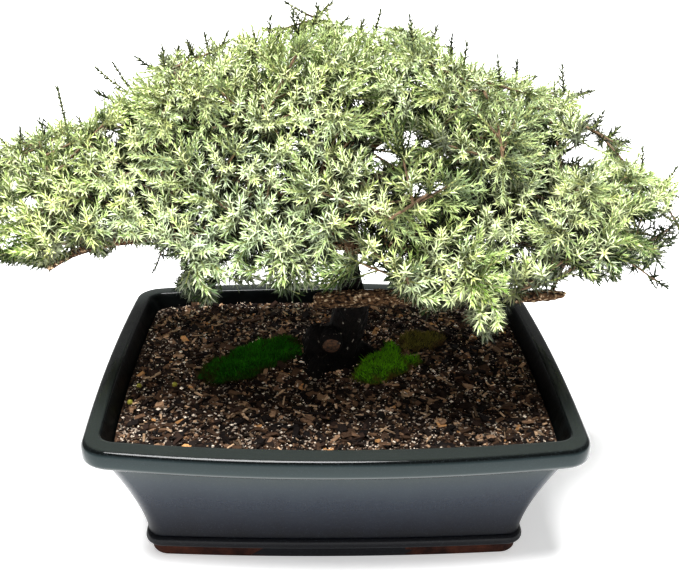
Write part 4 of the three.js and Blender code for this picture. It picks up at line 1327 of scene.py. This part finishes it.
def soil_material():
    n = Nodes("soil_bed")
    grain = n.noise(900, 4)
    crumbs = n.add("ShaderNodeTexVoronoi", {"Vector": n.place(), "Scale": 850.0}).outputs["Color"]
    colour = n.ramp(
        grain,
        (0.35, (0.002, 0.001, 0.001)),
        (0.55, (0.009, 0.005, 0.003)),
        (0.75, (0.035, 0.018, 0.011)),
    )
    crumb = n.ramp(
        n.split(crumbs)["Red"],
        (0.5, (0.003, 0.0015, 0.001)),
        (0.6, (0.04, 0.02, 0.011)),
        (0.86, (0.11, 0.06, 0.034)),
        (0.92, (0.45, 0.36, 0.28)),
    )
    colour = n.mix(0.7, colour, crumb)
    return n.matte(colour, 0.9, 0.1, grain, 0.0012)


def chip_material():
    """Bark, grit and prills, each with its own colour in the tint, grained like split bark."""
    n = Nodes("soil_chips")
    grain = n.ramp(n.noise(1100, 4), (0.3, 0.55), (0.7, 1.25))
    colour = n.mix(0.85, n.tint(), grain, "MULTIPLY")
    return n.matte(colour, 0.75, 0.15, grain, 0.0004)


CHIPS = 1  # place of their material among those of the soil
CHIP_TINTS = np.array([
    (0.004, 0.002, 0.0015), (0.01, 0.005, 0.003), (0.022, 0.011, 0.007), (0.05, 0.026, 0.014),
    (0.11, 0.06, 0.033), (0.24, 0.14, 0.08), (0.42, 0.21, 0.08),
])
CHIP_SHARES = (0.28, 0.22, 0.18, 0.14, 0.1, 0.06, 0.02)
SLIVER_TINT = np.array((0.46, 0.3, 0.18))
GRIT_TINT = np.array((0.95, 0.8, 0.64))
PRILL_TINT = (0.5, 0.46, 0.07)
PRILLS = ((139, 385), (175, 389), (130, 402))  # where they are in the reference view, in pixels


def add_chip(skin, rng, x, y, z, size, heading, tilt, tint):
    """A splinter of bark: a box with ragged corners and thin ends."""
    points = BOX * np.array(size) / 2 * rng.uniform(0.62, 1.05, (8, 3))
    turns = ((heading, "Z"), (tilt[1], "Y"), (tilt[0], "X"))
    about_z, about_y, about_x = (Matrix.Rotation(angle, 3, axis) for angle, axis in turns)
    turn = np.array(about_z @ about_y @ about_x)
    skin.add(points @ turn.T + (x, y, z), BOX_FACES, CHIPS, tint)


def bed_seen(spot):
    """The place on the bed that the reference view shows at a spot."""
    near, far = place_seen(spot, -100), place_seen(spot, 100)
    return between(near, far, (near[2] - SOIL_EDGE - 2) / (near[2] - far[2]))[:2]


def painted_light_back(y):
    """Painted light: how much lighter the chips are painted further back, under the crown's shade."""
    return 1 + 1.3 * rising(y, -68, 50)


TRUNK_ROOM = 17  # the bed's chips lie at least this far from the middle of the trunk


def soil_places(rng, count, half=CHIP_BED):
    """Places spread over the bed, off the trunk and the moss."""
    found = []
    while len(found) < count:
        x, y = rng.uniform(-half[0], half[0]), rng.uniform(-half[1], half[1])
        if math.hypot(x, y - 3) > TRUNK_ROOM and all(moss_reach(m, x, y) > 0.96 for m in MOSS):
            if abs(x / half[0]) ** 9 + abs(y / half[1]) ** 9 < 1:
                found.append((x, y))
    return found


OCTAHEDRON = np.array([(1, 0, 0), (0, 1, 0), (-1, 0, 0), (0, -1, 0), (0, 0, 1), (0, 0, -1)], float)
OCTAHEDRON_FACES = np.array([
    [0, 1, 4], [1, 2, 4], [2, 3, 4], [3, 0, 4], [1, 0, 5], [2, 1, 5], [3, 2, 5], [0, 3, 5],
])


def ball_rings(start, count, sides, squash=1, tall=1):
    """Rings of a ball of radius 1 from its foot to its top, which start at an angle from the poles."""
    b = full_turn(sides)
    for a in np.linspace(start, math.pi - start, count)[::-1]:
        yield level(np.sin(a) * np.cos(b), squash * np.sin(a) * np.sin(b), tall * math.cos(a))


def add_prill(skin, place, radius):
    """A grain of slow-release fertiliser."""
    rings = [place + ring * radius for ring in ball_rings(0.3, 7, 12)]
    loft(skin, rings, CHIPS, PRILL_TINT, (place - UP * radius, place + UP * radius))


def add_big_chips(skin, rng, count=10):
    """The large chips of the solid, at their places."""
    made = i = 0
    while made < count:
        x, y = (chance(i, 1) - 0.5) * 210, (chance(i, 2) - 0.5) * 170
        if math.hypot(x, y - 3) >= 30 and all(moss_reach(m, x, y) >= 1.35 for m in MOSS):
            size = (6 + 6 * chance(i, 3), 2.5 + 2 * chance(i, 4), 2.4)
            tilt = (0.5 * (chance(i, 5) - 0.5), 0.4 * (chance(i, 6) - 0.5))
            tint = CHIP_TINTS[3 + made % 4]
            add_chip(skin, rng, x, y, soil_height(x, y) + 0.3, size, math.pi * chance(i, 7), tilt, tint)
            made += 1
        i += 1


def make_soil():
    rng = np.random.default_rng(5)
    skin = Skin()
    share = min(1, (SOIL_EDGE - BEAD_TOP) / (POT_HEIGHT - LIP_HEIGHT - BEAD_TOP))
    edge = wall_outline(share, WALL_THICK + GAP, SOIL_EDGE)
    rings = [
        wall_outline(0, WALL_THICK + 3 + GAP, FLOOR_TOP + GAP),
        wall_outline(0.6, WALL_THICK + GAP + 0.3, wall_z(0.6)),
        edge,
    ]
    for size in np.linspace(0.985, 0.1, 58):
        ring = edge * (size, size, 0)
        ring[:, 2] = soil_height(ring[:, 0], ring[:, 1]) + 0.9 * rough_noise(ring, 5) - 0.3
        rings.append(ring)
    loft(skin, rings)
    add_big_chips(skin, rng)
    # Bark, slivers and grit are painted lighter further back, as painted light under the crown's shade
    # Bark
    for x, y in soil_places(rng, BARK_COUNT):
        length = 2.2 + min(rng.exponential(2.2), 8)
        size = (length, length * rng.uniform(0.3, 0.6), rng.uniform(0.8, 1.7))
        tint = CHIP_TINTS[rng.choice(len(CHIP_TINTS), p=CHIP_SHARES)] * rng.uniform(0.8, 1.2) * painted_light_back(y)
        z = soil_height(x, y) + rng.uniform(-0.2, 0.9)
        add_chip(skin, rng, x, y, z, size, rng.uniform(0, math.pi), rng.normal(0, 0.3, 2), tint)
    # Slivers
    for x, y in soil_places(rng, SLIVER_COUNT):
        size = (1.5 + min(rng.exponential(2.2), 8), rng.uniform(0.5, 1.7), rng.uniform(0.4, 0.9))
        tint = SLIVER_TINT * rng.uniform(0.15, 1.1) ** 1.5 * painted_light_back(y)
        z = soil_height(x, y) + rng.uniform(0.6, 1.4)
        add_chip(skin, rng, x, y, z, size, rng.uniform(0, math.pi), rng.normal(0, 0.25, 2), tint)
    # Grit
    for x, y in soil_places(rng, GRIT_COUNT, GRIT_BED):
        radius = 0.25 + min(rng.exponential(0.24), 1.1)
        tint = GRIT_TINT * rng.uniform(0.15, 1.05) * painted_light_back(y)
        shape = rng.uniform(0.6, 1.3, (6, 1)) * rng.uniform(0.6, 1.1, 3) * (1, 1, 0.7)
        points = OCTAHEDRON * radius * shape + (x, y, soil_height(x, y) + 0.9)
        skin.add(points, OCTAHEDRON_FACES, CHIPS, tint)
    for spot in PRILLS:
        x, y = bed_seen(spot)
        add_prill(skin, np.array((x, y, soil_height(x, y) + 1.6)), 1.5)
    piece(skin.make("fine_soil", [soil_material(), chip_material()]), "soil", "soil")


def moss_material(name, dark, light, dry):
    """Tint: red is how light a tuft is, green how dry."""
    n = Nodes(name)
    lit, dryness, _ = n.split(n.tint())
    colour = n.mix(n.math("MULTIPLY", lit, n.noise(110, 3)), dark, light)
    patchy = n.math("ADD", dryness, n.math("SUBTRACT", n.noise(160, 3)))
    colour = n.mix(n.ramp(patchy, (0.3, 0.0), (0.62, 1.0)), colour, dry)
    return n.matte(colour, 0.8, 0.1, n.noise(1500, 3), 0.0006)


MOSS_SIDES = 72


def moss_ring(moss, size, z):
    """A level of a cushion, with ragged lobes."""
    _, at, half, heading, _ = moss
    a = full_turn(MOSS_SIDES)
    ragged = rough_noise(level(9 * np.cos(a), 9 * np.sin(a), at[0]), 5)
    lobe = size * (0.98 + 0.12 * np.sin(3 * a + heading * 5) + 0.06 * np.sin(5 * a) + 0.16 * ragged)
    u, v = half[0] * lobe * np.cos(a), half[1] * lobe * np.sin(a)
    x = at[0] + u * math.cos(heading) - v * math.sin(heading)
    y = at[1] + u * math.sin(heading) + v * math.cos(heading)
    return level(x, y, z)


TUFT = np.array([(1, 0), (-0.5, 0.87), (-0.5, -0.87)])
# Levels of a cushion: share of its outline and of its height
CUSHION = (
    (0.96, 0.3), (1, 0.42), (0.96, 0.56), (0.87, 0.72), (0.72, 0.86), (0.5, 0.95), (0.28, 1), (0.1, 1.01),
)


def moss_swell(points):
    """How far a cushion's humps stand up."""
    return 2.2 * rough_noise(points * (1, 1, 0), 9) + 0.6 * rough_noise(points, 2.5, 9)


def add_cushion(skin, moss, lit, old):
    """A humped cushion with a skin of short upright moss shoots, which are dry round its edge."""
    _, at, half, _, height = moss
    rng = np.random.default_rng(int(half[0]))
    bed = float(soil_height(*np.array(at, float))) - 2
    top = height + 1.4
    rings = []
    for size, share in CUSHION:
        ring = moss_ring(moss, size, bed + share * top)
        ring[:, 2] += moss_swell(ring) * rising(1.02 - size, 0, 0.25)
        rings.append(ring)
    loft(skin, rings, 0, (0.2, 0.3, 0))
    sizes = np.sqrt(rng.uniform(0.002, 1.18, int(half[0] * half[1] * math.pi * 2.6)))
    shares, levels = zip(*CUSHION[:0:-1])
    for size in sizes:
        k = rng.integers(MOSS_SIDES)
        place = moss_ring(moss, size, bed + np.interp(size, shares, levels) * top)[k]
        place[:2] += rng.normal(0, 0.6, 2)
        place[2] += moss_swell(place[None])[0] * rising(1.02 - size, 0, 0.25) - 0.4
        reach = rng.uniform(1.3, 3.0) * (1 if size < 1 else 0.7)
        lean = rng.normal(0, 0.45, 2) + (place[:2] - at) / 60 * size
        base = np.column_stack([TUFT * rng.uniform(0.28, 0.48), np.zeros(3)])
        tuft = np.vstack([base, [(*(lean * reach), reach)]]) + place
        dry = rising(size, 0.62, 0.5) * 0.75 + old
        skin.add(tuft, AWL_FACES, 0, (rng.uniform(0.2, 1.5) * lit, dry, 0))


# How light the moss of each cushion is, and smaller cushions that have grown out of it: middle, half length
# and width, heading, height and how dry it is
MOSS_LOBES = {
    "moss_left": (1.0, ((-66, -8), (15, 8), 0.9, 4, 0.4), ((-34, 18), (15, 6), 0.6, 4, 0.4)),
    "moss_right": (1.8, ((33, 5), (10, 5.5), 1.2, 6, 0), ((44, -3), (7, 5), 0.2, 4, 0.2)),
    "moss_brown": (1.8, ((45, 14), (6, 4), 0.5, 3, 0.2)),
}


# Slot and material of each cushion, with its dark, light and dry colours
MOSS_LOOKS = (
    ("moss_green", "moss_green", (0.002, 0.018, 0.001), (0.06, 0.42, 0.01), (0.05, 0.04, 0.01)),
    ("moss_green", "moss_fresh", (0.004, 0.02, 0.001), (0.22, 0.62, 0.015), (0.12, 0.09, 0.015)),
    ("moss_brown", "moss_brown", (0.015, 0.012, 0.003), (0.34, 0.3, 0.06), (0.16, 0.1, 0.035)),
)


def make_moss(moss, slot, material):
    name = moss[0]
    lit, *lobes = MOSS_LOBES[name]
    skin = Skin()
    for *cushion, old in ((*moss[1:], 0), *lobes):
        add_cushion(skin, (name, *cushion), lit, old)
    piece(skin.make("fine_" + name, [material]), slot, name)


# The wood

def bark_material(name, dark, brown, flake, size, along, flaky):
    """Scaly bark: dark cracks, brown plates and paler flakes, drawn out along the wood."""
    n = Nodes(name)
    warp = n.stretched(*along)
    grain = n.noise(size * 2.2, 5, vector=warp)
    tear = {0: n.noise(size, 3, vector=warp), 1: (0.006, 0.006, 0.006)}
    tear = n.add("ShaderNodeVectorMath", tear, operation="MULTIPLY").outputs[0]
    torn = n.add("ShaderNodeVectorMath", {0: warp, 1: tear}, operation="ADD").outputs[0]
    plates = {"Vector": torn, "Scale": size, "Randomness": 1.0}
    plates = n.add("ShaderNodeTexVoronoi", plates, feature="DISTANCE_TO_EDGE").outputs["Distance"]
    cracks = n.ramp(plates, (0.0, 0.0), (0.12, 1.0))
    body = n.ramp(grain, (0.42, dark), (0.52, brown), (flaky - 0.05, brown), (flaky, flake))
    colour = n.mix(n.ramp(plates, (0.0, 0.7), (0.05, 0.0)), body, dark)
    height = n.math("ADD", n.math("MULTIPLY", cracks, 0.35), grain)
    return n.matte(colour, 0.85, 0.12, height, 0.0012)


def cut_material(name, dark, light):
    return grained(name, 600, 3, (0.35, dark), (0.65, light), 0.8, 0.0004)


def smooth_path(points, radii, step):
    """Points and radii about a step apart on a Catmull-Rom curve through the given ones."""
    rows = np.column_stack([points, radii]).astype(float)
    rows = np.vstack([2 * rows[0] - rows[1], rows, 2 * rows[-1] - rows[-2]])
    found = []
    for a, b, c, d in zip(rows, rows[1:], rows[2:], rows[3:]):
        count = max(2, int(np.linalg.norm((c - b)[:3]) / step))
        square, cube = 2 * a - 5 * b + 4 * c - d, 3 * b - a - 3 * c + d
        for t in np.arange(count) / count:
            found.append(0.5 * (2 * b + (c - a) * t + square * t**2 + cube * t**3))
    found = np.array([*found, rows[-2]])
    return found[:, :3], found[:, 3]


def add_bark(skin, points, radii, sides, step, rough, size, slot, blunt=0):
    """A limb with scaly, slightly fluted bark; rough is the share of the radius that it stands in and out.

    Its ends can be rounded off over a blunt length.
    """
    centres, radii = smooth_path(points, radii, step)
    if blunt:
        first, last = (np.linalg.norm(centres - centres[end], axis=1) for end in (0, -1))
        radii = radii * np.sqrt(1 - (1 - np.minimum(1, (first + 0.5) / blunt)) ** 2)
        radii = radii * (0.62 + 0.38 * np.minimum(1, last / blunt / 1.5))
    body, faces = tube(centres, radii, sides)
    rings = len(centres)
    skin_points = body[: rings * sides].reshape(rings, sides, 3)
    drawn = (skin_points * (1, 1, 0.5)).reshape(-1, 3)
    scales = 0.6 * rough_noise(drawn, size, 3.0) + 0.55 * rough_noise(drawn, size / 3, 8.0)
    wobble = 1 + rough * scales.reshape(rings, sides)
    moved = centres[:, None] + (skin_points - centres[:, None]) * wobble[..., None]
    body[: rings * sides] = moved.reshape(-1, 3)
    skin.add(body, faces, slot)


BARK, LIMB_BARK, SCAR, SPLIT = range(4)  # places among the materials of the wood
KNOT = np.array((-8, -3, 91.5))
KNOT_RADIUS = 10.3
KNOT_FACE = np.array((-1.8, -9.6, 96.5))
SCAR_DOWN = 0.25  # angle that the scar looks down by


def add_knot(skin):
    """The swollen knot at the trunk's foot, with the scar of a cut branch."""
    rings = []
    for ring in ball_rings(0.12, 26, 40, 0.9, 1.05):
        swell = 1 + 0.16 * rough_noise(ring * 10, 7, 4.0) + 0.08 * rough_noise(ring * 10, 2.2, 6.0)
        rings.append(KNOT + ring * KNOT_RADIUS * swell[:, None])
    pole = UP * (KNOT_RADIUS + 0.5)
    loft(skin, rings, BARK, ends=(KNOT - pole, KNOT + pole))
    way = unit(np.array((0.0, -math.cos(SCAR_DOWN), -math.sin(SCAR_DOWN))))
    centres = [KNOT_FACE - way * 5, KNOT_FACE + way * 2, KNOT_FACE + way * 4.6, KNOT_FACE + way * 5]
    body, faces = tube(centres, (6.6, 6.4, 5.9, 5.2), 24)
    body += 0.35 * rough_noise(body, 3)[:, None] * way
    skin.add(body, faces, BARK)
    skin.add(*tube([KNOT_FACE + way * 4.4, KNOT_FACE + way * 5.2], (5.3, 4.7), 20), SCAR)


def add_cut_end(skin, limb):
    """The broken end of a limb: tan wood a little inside the bark, with splinters."""
    end, radius = limb.bones[-1], limb.radius[1]
    way = unit(end - limb.bones[-2])
    skin.add(*tube([end - way, end + way * 0.5], (radius * 0.58, radius * 0.5), 16), SPLIT)
    side, other = square_to(way, UP)
    rng = np.random.default_rng(limb.index)
    for a in np.arange(9) * GOLDEN:
        foot = end + (side * math.cos(a) + other * math.sin(a)) * radius * rng.uniform(0.2, 0.6) - way
        skin.add(*tube([foot, foot + way * rng.uniform(1.8, 3.4)], (rng.uniform(0.4, 0.7), 0.12), 5), SPLIT)


THICK = 4.5  # limbs thicker than this have finer bark and a rounded start


def make_wood(limbs, sprays):
    skin = Skin()
    rows = np.array(TRUNK, float)
    add_bark(skin, rows[1:, :3], rows[1:, 3], sides=56, step=1.3, rough=0.16, size=11, slot=BARK)
    for heading, reach, radius in ROOTS:
        across, deep = math.cos(heading), math.sin(heading)
        points = [(d * across, 3 + d * deep, z) for d, z in ((4, 86), (14, 82), (24, 76), (reach, 62))]
        radii = (radius + 3, radius + 1.5, radius, radius * 0.4)
        add_bark(skin, points, radii, sides=26, step=1.5, rough=0.2, size=9, slot=BARK)
    add_knot(skin)
    for limb in limbs:
        radii = [limb.radius_at(t) for t in np.linspace(0, 1, limb.lengths + 1)]
        sides, step, blunt = (26, 1.3, 6) if limb.radius[0] > THICK else (12, 2.4, 0)
        add_bark(skin, limb.bones, radii, sides, step, rough=0.3, size=4.5, slot=LIMB_BARK, blunt=blunt)
        if limb.cut:
            add_cut_end(skin, limb)
    for spray in sprays:
        if not spray.at_tip:
            peg = [spray.foot, between(spray.foot, spray.root, 0.5), spray.root]
            skin.add(*tube(peg, (1.5, 1.3, 1.15), 7), LIMB_BARK)
    dark, brown, flake = (0.001, 0.0008, 0.0006), (0.0035, 0.0022, 0.0016), (0.36, 0.32, 0.26)
    bark = bark_material("trunk_bark", dark, brown, flake, 230, (1, 1, 0.45), 0.7)
    dark, brown, flake = (0.005, 0.0025, 0.0012), (0.12, 0.062, 0.028), (0.66, 0.49, 0.3)
    limb_bark = bark_material("limb_bark", dark, brown, flake, 300, (0.55, 1, 1), 0.63)
    scar = cut_material("scar", (0.006, 0.0025, 0.001), (0.12, 0.05, 0.018))
    split = cut_material("split_wood", (0.16, 0.09, 0.045), (0.62, 0.44, 0.24))
    piece(skin.make("fine_trunk", [bark, limb_bark, scar, split], smooth=True), "bark", "trunk")


# The whole

room = Room()
limbs = [Limb(index, row) for index, row in enumerate(LIMBS)]
sprays = place_sprays(room, limbs)
grow_twigs(room, sprays)
for spray in sprays:
    make_spray(spray)
make_crown(limbs, sprays)
make_wood(limbs, sprays)
make_pot()
make_screens()
make_soil()
for moss, (slot, *look) in zip(MOSS, MOSS_LOOKS):
    make_moss(moss, slot, moss_material(*look))


# Stage

FLOOR_Z = -0.0002  # just under the feet, in metres


def make_floor():
    mesh = bpy.data.meshes.new("floor")
    far = 8.0
    mesh.from_pydata([(-far, -far, 0), (far, -far, 0), (far, far, 0), (-far, far, 0)], [], [(0, 1, 2, 3)])
    glow = {"Emission_Color": (1, 1, 1, 1), "Emission_Strength": 0.45}
    mesh.materials.append(grained("floor", 1.5, 2, (0.3, 0.86), (0.7, 0.9), 0.9, **glow))
    floor = placed("floor", mesh)
    floor.location.z = FLOOR_Z


SUN_STRENGTH, SKY_STRENGTH = 10.0, 0.4


def make_light():
    world = bpy.data.worlds.new("studio")
    bpy.context.scene.world = world
    world.use_nodes = True
    sky = world.node_tree.nodes["Background"].inputs
    sky["Color"].default_value = (1, 1, 1, 1)
    sky["Strength"].default_value = SKY_STRENGTH
    sun = bpy.data.lights.new("key", "SUN")
    sun.energy = SUN_STRENGTH
    sun.angle = math.radians(30)
    placed("key", sun).rotation_euler = (math.radians(8), math.radians(-8), 0)


def make_camera():
    camera = bpy.data.cameras.new("camera")
    camera.sensor_width = SENSOR
    camera.lens = SENSOR * CAMERA_FOCUS / FRAME[0]
    camera.clip_start, camera.clip_end = 0.01, 50
    right, upward, ahead = camera_axes()
    turn = Matrix((right, upward, -ahead)).transposed()
    place = Vector(CAMERA_PLACE) * MM + Vector(SHIFT)
    bpy.context.scene.camera = placed("camera", camera)
    bpy.context.scene.camera.matrix_world = Matrix.Translation(place) @ turn.to_4x4()


make_floor()
make_light()
make_camera()
bpy.context.scene.view_settings.view_transform = "Standard"
